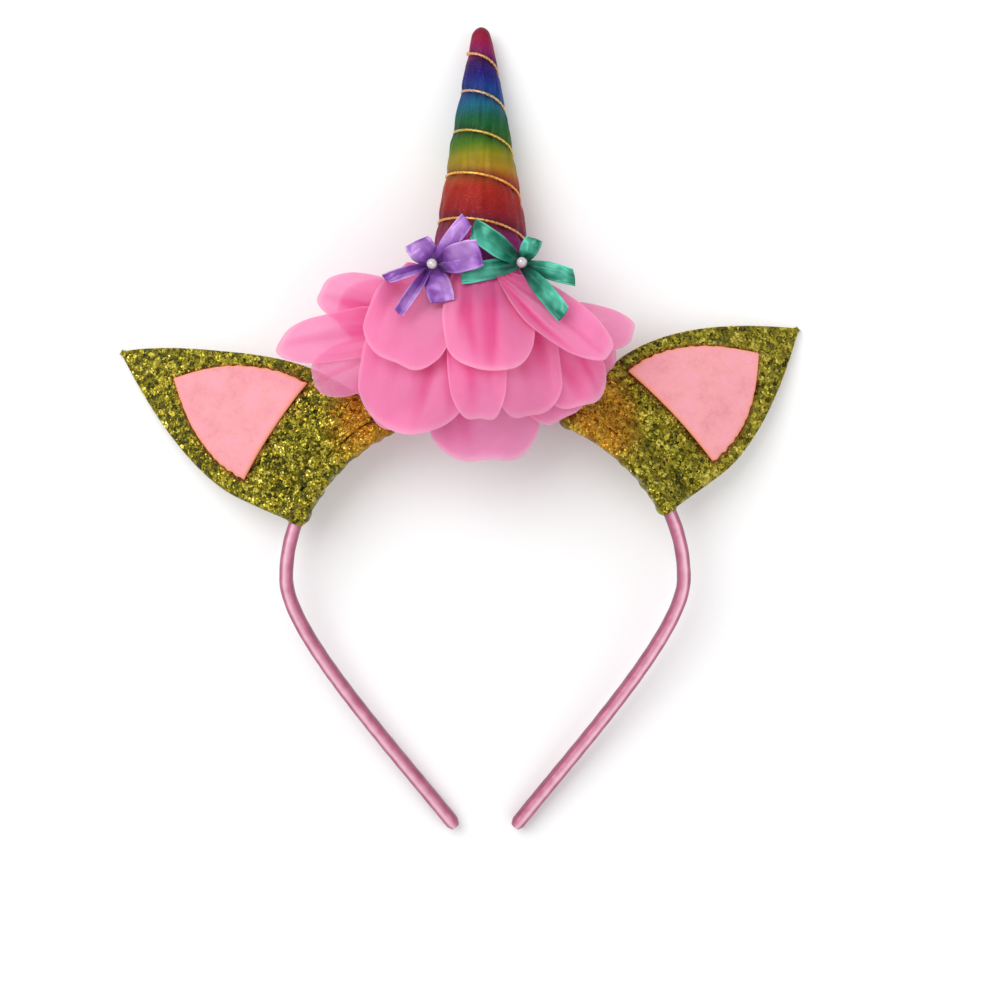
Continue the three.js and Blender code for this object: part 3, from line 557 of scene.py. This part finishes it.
def chiffon():
    """Sheer pink cloth: doubled and deeper at its gathers, with painted shade there and in its fold hollows;
    pale and see-through at its free edges.
    """
    s = Shader("pink_chiffon")
    rim = s.value("rim")
    light, deep, pale = srgb(248, 150, 198), srgb(234, 78, 152), srgb(253, 192, 220)
    # Deeper pink towards the gathered root, partly the doubled cloth and partly painted shade under the
    # petals lying over it, plus painted shade in the hollows of the soft folds.
    doubled_and_shaded = s.math("ADD", s.math("MULTIPLY", s.value("root"), 0.75),
                   s.math("MULTIPLY", s.value("fold"), 0.45))
    doubled_and_shaded = s.math("ADD", doubled_and_shaded, s.math("MULTIPLY", s.math("SUBTRACT", s.noise(70, 3), 0.5), 0.5))
    colour = s.blend(s.math("MAXIMUM", s.math("MINIMUM", doubled_and_shaded, 1.0), 0.0), light, deep)
    colour = s.blend(s.math("MULTIPLY", rim, 0.7), colour, pale)
    weave = s.add("ShaderNodeTexWave", {
        "Vector": s.stretched((1, 1, 1), (0, 0, 0.6)), "Scale": 900, "Distortion": 1.5})
    bump = s.bump(weave.outputs["Fac"], 0.00006, 0.25)
    bump = s.bump(s.noise(220, 4), 0.0004, 0.35, bump)
    cloth = s.add("ShaderNodeBsdfPrincipled", {
        "Base Color": colour, "Roughness": 0.75, "Sheen Weight": 0.25, "Normal": bump,
        "Specular IOR Level": 0.25})
    through = s.add("ShaderNodeBsdfTranslucent", {"Color": colour, "Normal": bump})
    clear = s.add("ShaderNodeBsdfTransparent", {"Color": srgb(255, 196, 218)})
    body = s.add("ShaderNodeMixShader", {0: 0.35, 1: cloth.outputs[0], 2: through.outputs[0]})
    sheer = s.math("ADD", s.math("MULTIPLY", rim, 0.10), s.value("sheer"))
    return s.finish(s.add("ShaderNodeMixShader", {
        0: sheer, 1: body.outputs[0], 2: clear.outputs[0]}).outputs[0])


RAINBOW = [
    (44, (130, 0, 105)), (49, (150, 0, 110)), (53.5, (150, 12, 50)), (58, (172, 22, 24)), (65, (190, 40, 14)),
    (68.5, (200, 90, 14)), (71.5, (196, 150, 20)), (75.5, (165, 155, 6)), (79, (84, 132, 0)),
    (84, (10, 105, 30)), (88, (0, 104, 66)), (92, (0, 112, 140)), (97, (0, 70, 160)), (102, (26, 14, 130)),
    (106.5, (64, 0, 96)), (109, (150, 10, 110)), (114, (176, 12, 70)), (118, (150, 8, 50)),
]


def rainbow_ramp(s, along, shade):
    """The dyed bands along the horn, with each colour's light scaled by a shade."""
    start, end = RAINBOW[0][0], RAINBOW[-1][0]
    stops = []
    for place, colour in RAINBOW:
        red, green, blue, _ = srgb(*colour)
        stops.append(((place - start) / (end - start), (red * shade, green * shade, blue * shade, 1)))
    return s.ramp(along, stops)


def rainbow():
    s = Shader("rainbow_fabric")
    wobble = s.math("MULTIPLY", s.math("SUBTRACT", s.noise(45, 2), 0.5), 0.012)
    colour = rainbow_ramp(s, s.math("ADD", s.value("along"), wobble), 0.72)
    press = s.value("press")
    # Painted shade: the cloth darkens where the cord pinches it into a groove.
    colour = s.blend(s.math("MULTIPLY", press, 0.55), colour, (0.01, 0.005, 0.01, 1))
    mottle = s.noise(330, 4)
    colour = s.blend(s.math("MULTIPLY", mottle, 0.35), colour, (0.01, 0.004, 0.01, 1))
    dots = s.add("ShaderNodeTexVoronoi", {"Vector": s.place, "Scale": 1900})
    glint = s.ramp(dots.outputs["Distance"], [(0.0, (1, 1, 1, 1)), (0.4, (0, 0, 0, 1))])
    weave = s.bump(dots.outputs["Distance"], 0.0001, 0.3)
    folds = s.bump(s.noise(1, 4, 0.55, s.stretched((190, 70, 150), (0.0, 0.0, 0.25))), 0.0006, 0.25, weave)
    cloth = s.add("ShaderNodeBsdfPrincipled", {
        "Base Color": colour, "Metallic": 0.3, "Roughness": 0.55, "Normal": folds,
        "Specular IOR Level": 0.22})
    sparkle = s.add("ShaderNodeBsdfPrincipled", {
        "Base Color": s.blend(0.15, colour, (1, 1, 1, 1)), "Metallic": 0.9,
        "Roughness": 0.35, "Normal": folds})
    return s.finish(s.add("ShaderNodeMixShader", {
        0: s.math("MULTIPLY", glint, 0.3), 1: cloth.outputs[0], 2: sparkle.outputs[0]}).outputs[0])


def gold_cord():
    """Twisted metallic thread, tinted a little with the horn's colour beside it."""
    s = Shader("gold_cord")
    strand = s.noise(2600, 2)
    gold = s.ramp(strand, [(0.3, srgb(150, 100, 34)), (0.55, srgb(232, 178, 84)),
                           (0.75, srgb(255, 236, 176))])
    colour = s.blend(0.22, gold, rainbow_ramp(s, s.value("along"), 2.2))
    bump = s.bump(strand, 0.0001, 0.6)
    return s.finish(s.add("ShaderNodeBsdfPrincipled", {
        "Base Color": colour, "Metallic": 0.75, "Roughness": 0.34, "Normal": bump}).outputs[0])


def glitter():
    """Loose metal flakes in olive gold: each leans its own way, and the brightest flake colour paints a glint
    on a few of them.
    """
    s = Shader("glitter_fabric")
    normal = s.add("ShaderNodeNewGeometry").outputs["Normal"]
    flakes = s.add("ShaderNodeTexVoronoi", {"Vector": s.place, "Scale": 780, "Randomness": 1.0})
    fine = s.add("ShaderNodeTexVoronoi", {"Vector": s.place, "Scale": 1900, "Randomness": 1.0})
    cell = s.add("ShaderNodeSeparateColor", {0: flakes.outputs["Color"]})
    small = s.add("ShaderNodeSeparateColor", {0: fine.outputs["Color"]})
    clumps = s.noise(150, 3)
    pick = s.math("ADD", s.math("MULTIPLY", cell.outputs[0], 0.55),
                  s.math("MULTIPLY", small.outputs[1], 0.45))
    pick = s.math("ADD", pick, s.math("MULTIPLY", s.math("SUBTRACT", clumps, 0.5), 0.55))
    # The brightest stop is a painted glint on a few flakes; the rest is the flakes' own random colour.
    stops = [(0.10, srgb(40, 32, 3)), (0.34, srgb(90, 82, 8)), (0.56, srgb(136, 124, 18)),
             (0.78, srgb(180, 164, 40)), (0.95, srgb(246, 230, 120))]
    colour = s.ramp(pick, stops)
    green = s.blend(0.25, colour, srgb(84, 104, 18))
    colour = s.blend(s.math("MULTIPLY", s.noise(45, 2), 0.8), colour, green)
    warm = s.blend(0.5, colour, srgb(255, 170, 60), "MULTIPLY")
    warm = s.blend(0.5, warm, srgb(206, 132, 26))
    spots = s.math("MINIMUM", s.math("MULTIPLY", s.value("warm"), s.math("ADD", s.noise(120, 3), 0.35)), 1.0)
    colour = s.blend(spots, colour, warm)
    # Darkens the glitter to brown in a narrow band round the felt patch's outline.
    colour = s.blend(s.math("MULTIPLY", s.value("felt_outline"), 0.85), colour, srgb(112, 52, 10))
    leans = []
    for texture in (flakes, fine):
        leans.append(s.add("ShaderNodeVectorMath", {
            0: texture.outputs["Color"], 1: (0.5, 0.5, 0.5)}, operation="SUBTRACT"))
    both = s.add("ShaderNodeVectorMath", {0: leans[0].outputs[0], 1: leans[1].outputs[0]}, operation="ADD")
    lean = s.add("ShaderNodeVectorMath", {0: both.outputs[0], 1: (0.95, 0.95, 0.95)}, operation="MULTIPLY")
    facing = s.add("ShaderNodeVectorMath", {0: normal, 1: lean.outputs[0]}, operation="ADD")
    facing = s.add("ShaderNodeVectorMath", {0: facing.outputs[0]}, operation="NORMALIZE")
    flake = s.add("ShaderNodeBsdfPrincipled", {
        "Base Color": colour, "Metallic": 0.72, "Roughness": 0.27, "Normal": facing.outputs[0]})
    return s.finish(flake.outputs[0])


def felt():
    """Matte felt with an orange tint along its cut edge."""
    s = Shader("pink_felt")
    fuzz = s.noise(900, 5, 0.7)
    patches = s.noise(150, 4, 0.65)
    colour = s.ramp(s.math("ADD", s.math("MULTIPLY", fuzz, 0.4), s.math("MULTIPLY", patches, 0.6)), [
        (0.36, srgb(222, 142, 156)), (0.52, srgb(232, 156, 162)), (0.66, srgb(236, 158, 178))])
    colour = s.blend(s.math("MULTIPLY", s.value("rim"), 0.8), colour, srgb(238, 150, 96))
    bump = s.bump(fuzz, 0.0004, 0.6)
    return s.finish(s.add("ShaderNodeBsdfPrincipled", {
        "Base Color": colour, "Roughness": 0.95, "Sheen Weight": 0.2, "Normal": bump,
        "Specular IOR Level": 0.15}).outputs[0])


def backing():
    s = Shader("ear_backing")
    weave = s.noise(1500, 3)
    colour = s.ramp(weave, [(0.3, srgb(214, 206, 180)), (0.7, srgb(238, 232, 214))])
    return s.finish(s.add("ShaderNodeBsdfPrincipled", {
        "Base Color": colour, "Roughness": 0.9, "Normal": s.bump(weave, 0.0001, 0.4)}).outputs[0])


def satin(name, dark, middle, light):
    """Folded satin: painted shade down in its folds and at the knot, painted highlights on its ridges and
    edges.
    """
    s = Shader(name)
    cloud = s.noise(260, 3)
    # Per-point painted light and shade, with random cloudy tone added.
    painted_light = s.math("ADD", s.value("painted_light"), s.math("MULTIPLY", s.math("SUBTRACT", cloud, 0.5), 0.5))
    colour = s.ramp(painted_light, [(0.0, srgb(*dark)), (0.45, srgb(*middle)), (1.0, srgb(*light))])
    threads = s.noise(1, 3, 0.6, s.stretched((2200, 300, 2200), (0, 0, 0.9)))
    bump = s.bump(threads, 0.00006, 0.3)
    bump = s.bump(s.noise(500, 3), 0.0003, 0.4, bump)
    return s.finish(s.add("ShaderNodeBsdfPrincipled", {
        "Base Color": colour, "Metallic": 0.25, "Roughness": 0.38, "Normal": bump,
        "Specular IOR Level": 0.5}).outputs[0])


def pearl_finish():
    s = Shader("pearl")
    swirl = s.noise(300, 3)
    colour = s.ramp(swirl, [(0.3, srgb(178, 160, 172)), (0.7, srgb(212, 204, 204))])
    return s.finish(s.add("ShaderNodeBsdfPrincipled", {
        "Base Color": colour, "Roughness": 0.16, "Coat Weight": 0.7, "Metallic": 0.15,
        "Normal": s.bump(swirl, 0.00005, 0.3)}).outputs[0])


def make_camera():
    data = bpy.data.cameras.new("camera")
    data.lens = 83.2
    data.sensor_width = 36
    data.clip_start, data.clip_end = 0.05, 10
    data.dof.use_dof = False
    camera = bpy.data.objects.new("camera", data)
    bpy.context.scene.collection.objects.link(camera)
    camera.location = ((4.7 + SHIFT[0]) / 1000, (-32.2 + SHIFT[1]) / 1000, 0.740)
    bpy.context.scene.camera = camera


def make_floor():
    size = 3.0
    mesh = bpy.data.meshes.new("floor")
    corners = [(-size, -size, 0), (size, -size, 0), (size, size, 0), (-size, size, 0)]
    mesh.from_pydata(corners, [], [(0, 1, 2, 3)])
    floor = bpy.data.objects.new("floor", mesh)
    bpy.context.scene.collection.objects.link(floor)
    floor.location = (0, 0, -0.0002)
    s = Shader("pale_floor")
    grain = s.ramp(s.noise(3, 2), [(0.0, (0.90, 0.90, 0.90, 1)), (1.0, (0.93, 0.93, 0.93, 1))])
    mesh.materials.append(s.finish(s.add("ShaderNodeBsdfPrincipled", {
        "Base Color": grain, "Roughness": 0.9, "Specular IOR Level": 0.2}).outputs[0]))


def make_light(name, place, size, power, colour=(1, 1, 1)):
    data = bpy.data.lights.new(name, "AREA")
    data.shape = "SQUARE"
    data.size = size
    data.energy = power
    data.color = colour
    lamp = bpy.data.objects.new(name, data)
    bpy.context.scene.collection.objects.link(lamp)
    lamp.location = place
    aim = -np.array(place, float)
    lamp.rotation_mode = "QUATERNION"
    lamp.rotation_quaternion = Vector(aim).to_track_quat("-Z", "Y")


def make_world():
    world = bpy.data.worlds.new("studio")
    bpy.context.scene.world = world
    world.use_nodes = True
    back = world.node_tree.nodes["Background"]
    back.inputs["Color"].default_value = (1, 1, 1, 1)
    back.inputs["Strength"].default_value = 0.72


bpy.context.scene.view_settings.view_transform = "Standard"
make_camera()
make_floor()
make_world()
make_light("key", (-0.50, 0.45, 1.0), 1.0, 9.0)
make_light("fill", (0.8, -0.5, 1.0), 1.2, 3.0)


def build_band(material):
    count = 420
    distance = np.linspace(-BAND_HALF_LENGTH, BAND_HALF_LENGTH, count)
    centre, outward = band_frame(distance)
    ups = np.broadcast_to(BAND_UP, centre.shape)
    angle = np.linspace(0, 2 * np.pi, 32, endpoint=False)
    power = 0.75

    def section(index):
        taper = min(1, (BAND_HALF_LENGTH - abs(distance[index])) / 3 + 0.45)
        wrap = 0.03 * math.sin(distance[index] * 2 * math.pi / 7.5)
        up = (BAND_BROAD / 2 + wrap) * np.sign(np.sin(angle)) * np.abs(np.sin(angle)) ** power
        out = (BAND_THICK / 2 + SATIN_PLY + wrap) * np.sign(np.cos(angle)) * np.abs(np.cos(angle)) ** power
        return np.stack([up * taper ** 0.5, out * taper ** 0.5], axis=1)

    points, faces = tube(centre, ups, outward, section)
    # Painted light on the satin: lighter over the top of the band, with a narrow painted highlight line just
    # off its crest.
    highlight_line = np.exp(-((np.cos(angle) - 0.15) / 0.2) ** 2) * (np.sin(angle) > 0)
    painted_crest_light = np.tile(0.55 * np.sin(angle) ** 2 + 0.5 * highlight_line, count)
    make_piece("headband_satin_wrap", points, faces, ["headband"], material,
               {"painted_light": np.concatenate([painted_crest_light, [0, 0]])})


def build_horn(material):
    rings, sides = 420, 128
    round_off = HORN_TIP_RADIUS * HORN_TIP_ROUNDING
    from_base = np.linspace(0, HORN_LENGTH - round_off, rings)
    shrink = np.ones(rings)
    cap = np.radians(np.linspace(8, 88, 14))
    from_base = np.concatenate([from_base, HORN_LENGTH - round_off * (1 - np.sin(cap))])
    shrink = np.concatenate([shrink, np.cos(cap)])
    around = np.linspace(0, 360, sides, endpoint=False)
    f, a = np.meshgrid(from_base, around, indexing="ij")
    press = horn_press(f, a) ** PINCH_SHARPNESS
    radius = horn_envelope(f) - PINCH_DEPTH * np.minimum(1, horn_envelope(f) / 6) * press
    pucker = ripple(a * 0.35, f, 7, 3) * 0.20 + ripple(a * 0.9, f * 0.5, 9, 4) * 0.14
    radius = radius + pucker * np.minimum(1, f / 8) * np.minimum(1, (HORN_LENGTH - f) / 30)
    points = horn_point(f, a, radius * shrink[:, None])
    faces = grid_faces(len(from_base), sides, closed=True)
    flat = points.reshape(-1, 3)
    flat = np.concatenate([flat, points[0].mean(0)[None], points[-1].mean(0)[None]])
    first, last = len(flat) - 2, len(flat) - 1
    for column in range(sides):
        after = (column + 1) % sides
        faces.append((first, after, column))
        faces.append((last, (len(from_base) - 1) * sides + column, (len(from_base) - 1) * sides + after))
    arch = np.concatenate([cord_arch(a).ravel(), [0, 0]])
    along = (flat[:, 1] - arch - RAINBOW[0][0]) / (RAINBOW[-1][0] - RAINBOW[0][0])
    # The pinch also sets painted shade in the cord's grooves.
    pinch_shade = np.concatenate([press.ravel(), [0, 0]])
    horn = make_piece("horn_rainbow_cloth", flat, faces, ["horn"], material,
                      {"along": along, "press": pinch_shade})


def build_cord(material):
    steps = int(CORD_TURNS * 260)
    turn = np.linspace(0, CORD_TURNS, steps + 1)
    from_base = HORN_LENGTH - cord_from_tip(turn)
    pinch = PINCH_DEPTH * np.minimum(1, horn_envelope(from_base) / 6)
    radius = horn_envelope(from_base) - pinch + 0.3 * TWIST_THICK
    from_base = from_base + cord_arch(180 - 360 * turn)
    centre = horn_point(from_base, 180 - 360 * turn, radius)
    along = np.gradient(centre, axis=0)
    along /= np.linalg.norm(along, axis=1, keepdims=True)
    axis_point = horn_point(from_base, 0, 0)
    outward = centre - axis_point
    outward /= np.linalg.norm(outward, axis=1, keepdims=True)
    side = np.cross(along, outward)
    side /= np.linalg.norm(side, axis=1, keepdims=True)
    up = np.cross(side, along)
    run = np.concatenate([[0], np.cumsum(np.linalg.norm(np.diff(centre, axis=0), axis=1))])
    angle = np.linspace(0, 2 * np.pi, 14, endpoint=False)

    def section(index):
        twist = run[index] * 2 * math.pi / 3.2
        radius = TWIST_THICK / 2 * (0.86 + 0.22 * np.abs(np.cos(angle - twist)))
        end = min(1, (min(index, steps - index) + 2) / 8)
        end = end + CORD_KNOT * math.exp(-((index - 14) / 8) ** 2)
        return np.stack([radius * np.cos(angle) * end, radius * np.sin(angle) * end], axis=1)

    points, faces = tube(centre, up, side, section)
    horn_tint_place = (points[:, 1] - RAINBOW[0][0]) / (RAINBOW[-1][0] - RAINBOW[0][0])
    make_piece("horn_cord_twist", points, faces, ["horn_cord"], material, {"along": horn_tint_place})


def ear_lift(distance):
    """How far the ear's cloth stands up where it comes off the fold over the band."""
    return 3.0 * (1 - smooth((distance - 2.5) / 6)) - 0.5 * np.exp(-((distance - 9.5) / 1.6) ** 2)


def build_ear(ear, glitter_material, backing_material, felt_material):
    name = ear["name"]
    rows, columns = 96, 64
    share = np.linspace(EAR_SHEET_START, 1, rows)[:, None]
    across = np.linspace(-1, 1, columns)[None, :]
    points = ear_point(ear, share, across)
    length = EAR_LENGTH * ear["reach"]
    distance = share * length + 0 * across
    seed = 11 if name == "left" else 17
    x, y = points[..., 0], points[..., 1]
    lumps = ripple(x, y, LUMP_WAVE, seed) * LUMP_DEPTH
    lumps = lumps + ripple(x, y, FINE_LUMP_WAVE, seed + 1) * FINE_LUMP_DEPTH
    puckers = PUCKER_DEPTH * np.exp(-((distance - PUCKER_MIDDLE) / PUCKER_RUN) ** 2)
    puckers = puckers * ripple(across * EAR_WIDTH, distance * 0.2, PUCKER_WAVE, seed + 2)
    middle = points.copy()
    settled = lumps * np.minimum(1, share * 4) * (1 - share)
    middle[..., 2] += EAR_CLOTH / 2 - 0.6 + ear_lift(distance) + settled + puckers
    body, faces = thick_sheet(middle, 1.0)
    to_ruffle = np.hypot(body[:, 0] - ear["side"] * 37, (body[:, 1] + 8) * 0.7)
    warm = smooth(1 - (to_ruffle - 4) / 11)
    felt_share = (share * EAR_LENGTH - FELT_START) / (FELT_HEIGHT * ear["felt"])
    felt_half = ear["felt"] * FELT_WIDTH / 2 * (1 - np.clip(felt_share, 0, 1) ** FELT_TAPER)
    beside = np.abs(across) * EAR_WIDTH / 2 * ear_share(share) - felt_half
    outside = np.maximum(beside, np.maximum(-felt_share, felt_share - 1) * FELT_HEIGHT)
    # A narrow band round the felt patch's outline, darkened brown on the glitter.
    felt_outline = np.tile(np.exp(-(outside / FELT_OUTLINE_WIDTH) ** 2).ravel(), 2)
    cloth = make_piece(f"ear_{name}_glitter_cloth", body, faces, [f"ear_{name}"],
                       glitter_material, {"warm": warm, "felt_outline": felt_outline})

    outer = ear_point(ear, share * 1.006, across * (1 + 0.35 / (EAR_WIDTH / 2 * ear_share(share))))
    outer[..., 2] += EAR_CLOTH / 2 - 1.45 + ear_lift(distance) * 0.9
    under, under_faces = thick_sheet(outer, 0.5)
    back = make_piece(f"ear_{name}_backing", under, under_faces, [], backing_material)

    half = EAR_FOLD_WIDTH / 2
    distance_on_band = np.linspace(ear["side"] * ear["arc"] - half, ear["side"] * ear["arc"] + half, 120)
    centre, outward = band_frame(distance_on_band)
    ups = np.broadcast_to(BAND_UP, centre.shape)
    angle = np.linspace(0, 2 * np.pi, 40, endpoint=False)

    def section(index):
        lump = 0.22 * ripple(angle * 2.5, distance_on_band[index], 5, seed + 5)
        grow = GAP + EAR_WRAP_WALL
        edge = min(index, len(distance_on_band) - 1 - index)
        grow = grow - 0.7 * math.exp(-edge / 2) + lump
        up = (BAND_BROAD / 2 + grow) * np.sign(np.sin(angle)) * np.abs(np.sin(angle)) ** 0.7
        out = (BAND_THICK / 2 + grow) * np.sign(np.cos(angle)) * np.abs(np.cos(angle)) ** 0.7
        return np.stack([up, out], axis=1)

    points, faces = tube(centre, ups, outward, section)
    to_ruffle = np.hypot(points[:, 0] - ear["side"] * 36, points[:, 1] + 10)
    make_piece(f"ear_{name}_fold", points, faces, [], glitter_material,
               {"warm": smooth(1 - (to_ruffle - 4) / 12)})
    build_felt(ear, felt_material, seed)


def build_felt(ear, material, seed):
    rows, columns = 60, 60
    share = np.linspace(0, 1, rows)[:, None]
    across = np.linspace(-1, 1, columns)[None, :]
    earwise = (FELT_START + share * FELT_HEIGHT * ear["felt"]) / EAR_LENGTH
    half_width = ear["felt"] * FELT_WIDTH / 2 * np.maximum(1 - share ** FELT_TAPER, FELT_TIP_SHARE)
    ragged = 1 + 0.012 * ripple(share * 40, across * 3, 3, seed + 8)
    earwise_across = across * ragged * half_width / (EAR_WIDTH / 2 * ear_share(earwise))
    points = ear_point(ear, earwise + 0 * across, earwise_across)
    points[..., 2] += EAR_CLOTH / 2 + GAP + FELT_CLOTH / 2 - 0.15
    points[..., 2] += 0.15 * ripple(points[..., 0], points[..., 1], 14, seed + 9)
    body, faces = thick_sheet(points, 1.1)
    name = ear["name"]
    edge = np.minimum(share * FELT_HEIGHT, (1 - np.abs(across)) * half_width)
    rim = np.tile(1 - smooth(edge / 1.3).ravel(), 2)
    patch = make_piece(f"ear_{name}_felt_patch", body, faces, [f"ear_felt_{name}"], material,
                       {"rim": rim})


def ragged_outline(share, across, seed):
    """Share and across with an uneven free edge and uneven sides."""
    rng = np.random.default_rng(seed)
    waves = [rng.uniform(0, 2 * math.pi) for _ in range(4)]
    end = 0.020 * np.sin(across * 3.2 + waves[0]) + 0.008 * np.sin(across * 7 + waves[1])
    side = 0.022 * np.sin(share * 4.5 + waves[2]) + 0.010 * np.sin(share * 9 + waves[3])
    corner = (np.abs(across) * np.abs(share)) ** 7
    return share * (1 + end * share - 0.04 * corner), across * (1 + side * share - 0.07 * corner)


def petal_folds(share, across, seed):
    """Soft folds that fan out from the gathers: heights from about -1 to 1."""
    rng = np.random.default_rng(seed + 900)
    total = 0 * share + 0 * across
    for _ in range(5):
        place, width = rng.uniform(-0.85, 0.85), rng.uniform(0.10, 0.22)
        drift, start = rng.uniform(-0.25, 0.25), rng.uniform(0.55, 1.0)
        near = np.exp(-((across - place - drift * share) / width) ** 2)
        total = total + rng.choice([-1, 1]) * near * (1 - smooth((share - start + 0.25) / 0.45))
    return np.clip(total, -1.2, 1.2)


def build_petal(petal, name, at, seed, sheer, material):
    rows, columns = 56, 52
    first = -0.14 if name.startswith("front") else 0
    share = np.linspace(first, 1, rows)[:, None] + np.zeros((1, columns))
    across = np.linspace(-1, 1, columns)[None, :] + np.zeros((rows, 1))
    points = at(petal, *ragged_outline(share, across, seed))
    share = np.maximum(share, 0)
    x, y = points[..., 0], points[..., 1]
    fade = np.minimum(1, share * 3)
    folds = petal_folds(share, across, seed)
    points[..., 2] += fade * (0.28 * ripple(x, y, 13, seed) + 0.10 * ripple(x, y, 5, seed + 50))
    points[..., 2] += 0.55 * fade * folds
    points[..., 2] += 0.35 * np.cos(across * math.pi * (4 + seed % 3)) * (1 - share) ** 2
    rim = np.minimum(smooth(1 - (1 - np.abs(across)) / 0.08) + smooth(1 - (1 - share) / 0.07), 1)
    # Deeper towards the gathers: the doubled cloth there plus painted shade under the petals above; the
    # folds' hollows also get painted shade.
    gathered_and_shaded = (1 - share) ** 1.25
    piece = make_piece(f"petal_{name}", points, grid_faces(rows, columns), [f"ruffle_{name}"],
                       material, {"rim": rim, "root": gathered_and_shaded,
                                   "fold": -folds * fade, "sheer": sheer + 0 * rim})


def build_ruffle(material):
    kinds = (("", PETALS, row_petal, 0.12), ("side_", SIDE_PETALS, side_petal, 0.30),
             ("back_", BACK_PETALS, back_petal, 0.45))
    seed = 100
    for prefix, petals, at, sheer in kinds:
        for petal in petals:
            build_petal(petal, prefix + petal["name"], at, seed, sheer, material)
            seed += 1


def ribbon_points(flower, ribbon, seed, rows=40, columns=26):
    """The middle of a folded ribbon, and the light and shade painted on its satin from place to place."""
    rng = np.random.default_rng(seed)
    share = np.linspace(0, 1, rows)[:, None] + np.zeros((1, columns))
    across = np.linspace(-1, 1, columns)[None, :] + np.zeros((rows, 1))
    centre = flower_centre(flower)
    heading = math.radians(ribbon["heading"])
    cut = rng.uniform(-0.10, 0.10)
    length = RIBBON_REACH * ribbon["reach"] * (1 - 0.02 * np.abs(across) + cut * across)
    distance = mix(1.0, length, share)
    swell = mix(0.52, 1, np.sin(np.pi / 2 * np.minimum(share / 0.55, 1)) ** 1.2)
    half_width = RIBBON_WIDTH / 2 * ribbon["width"] * swell * (1 - 0.10 * smooth((share - 0.8) / 0.2))
    height = mix(-RIBBON_SINK, RIBBON_REACH * ribbon["tip"], share ** RIBBON_LEVEL)
    height = height + RIBBON_REACH * ribbon["arch"] * np.sin(np.pi * share)
    ridge, twist = rng.uniform(-0.35, 0.35), rng.uniform(-0.7, 0.7)
    fold = 1 - np.minimum(np.abs(across - ridge * share) / 0.9, 1.3)
    bowl = np.sin(np.pi * np.minimum(share + 0.12, 1))
    edges = np.exp(-((1 - np.abs(across)) / 0.16) ** 2)
    height = height + 1.5 * (fold - 0.5) * bowl * rng.choice([-1, 1]) + twist * across * share
    height = height + 0.5 * edges * share + 0.25 * ripple(share * 14, across * 4, 5, seed)
    x = centre[0] + distance * math.cos(heading) - half_width * across * math.sin(heading)
    y = centre[1] + distance * math.sin(heading) + half_width * across * math.cos(heading)
    # Painted shade at the knot and a little at the cut end, painted highlights along the edges, and one side
    # of the ridge lit while the other is shaded.
    painted_light = 0.12 + 0.5 * smooth(share / 0.55) - 0.16 * smooth((share - 0.8) / 0.2)
    sides = np.sign(across - ridge * share)
    painted_light = painted_light + 0.35 * edges * share + 0.22 * sides * np.minimum(np.abs(across), 0.5)
    return vec(x, y, centre[2] + height), np.clip(painted_light, 0, 1)


def build_flower(flower, seed, material, pearl_material):
    name = flower["name"]
    all_points, all_faces, painted_lights, start = [], [], [], 0
    for place, ribbon in enumerate(flower["ribbons"]):
        middle, painted_light = ribbon_points(flower, ribbon, seed + place)
        points, faces = thick_sheet(middle, 0.4)
        all_points.append(points)
        all_faces += [tuple(start + index for index in face) for face in faces]
        painted_lights.append(np.tile(painted_light.ravel(), 2))
        start += len(points)
    ribbons = make_piece(f"flower_{name}_satin", np.concatenate(all_points), all_faces,
                         [f"flower_{name}_ribbon"], material,
                          {"painted_light": np.concatenate(painted_lights)})
    build_pearl(flower, pearl_material)


def build_pearl(flower, material):
    name = flower["name"]
    centre = pearl_centre(flower) - vec(0, 0, PEARL_RADIUS - BEAD_RADIUS)
    latitude = np.linspace(-np.pi / 2, np.pi / 2, 26)[1:-1, None]
    longitude = np.linspace(0, 2 * np.pi, 40, endpoint=False)[None, :]
    ball = vec(np.cos(latitude) * np.cos(longitude), np.cos(latitude) * np.sin(longitude),
               np.sin(latitude) + 0 * longitude) * BEAD_RADIUS + centre
    rows, columns = ball.shape[:2]
    poles = np.array([centre - vec(0, 0, BEAD_RADIUS), centre + vec(0, 0, BEAD_RADIUS)])
    points = np.concatenate([ball.reshape(-1, 3), poles])
    faces = grid_faces(rows, columns, closed=True)
    for column in range(columns):
        after = (column + 1) % columns
        faces.append((len(points) - 2, after, column))
        faces.append((len(points) - 1, (rows - 1) * columns + column, (rows - 1) * columns + after))
    make_piece(f"flower_{name}_pearl_bead", points, faces, [f"flower_{name}_pearl"], material)


build_band(satin("satin_band", (128, 52, 80), (182, 100, 130), (232, 182, 200)))
build_horn(rainbow())
build_cord(gold_cord())
glitter_cloth, pale_cloth, felt_cloth = glitter(), backing(), felt()
for ear in EARS:
    build_ear(ear, glitter_cloth, pale_cloth, felt_cloth)
build_ruffle(chiffon())
pearl_look = pearl_finish()
lilac = satin("lilac_ribbon", (50, 16, 76), (124, 66, 158), (202, 158, 222))
teal = satin("teal_ribbon", (0, 44, 38), (8, 112, 88), (92, 206, 178))
build_flower(FLOWERS[0], 300, lilac, pearl_look)
build_flower(FLOWERS[1], 400, teal, pearl_look)
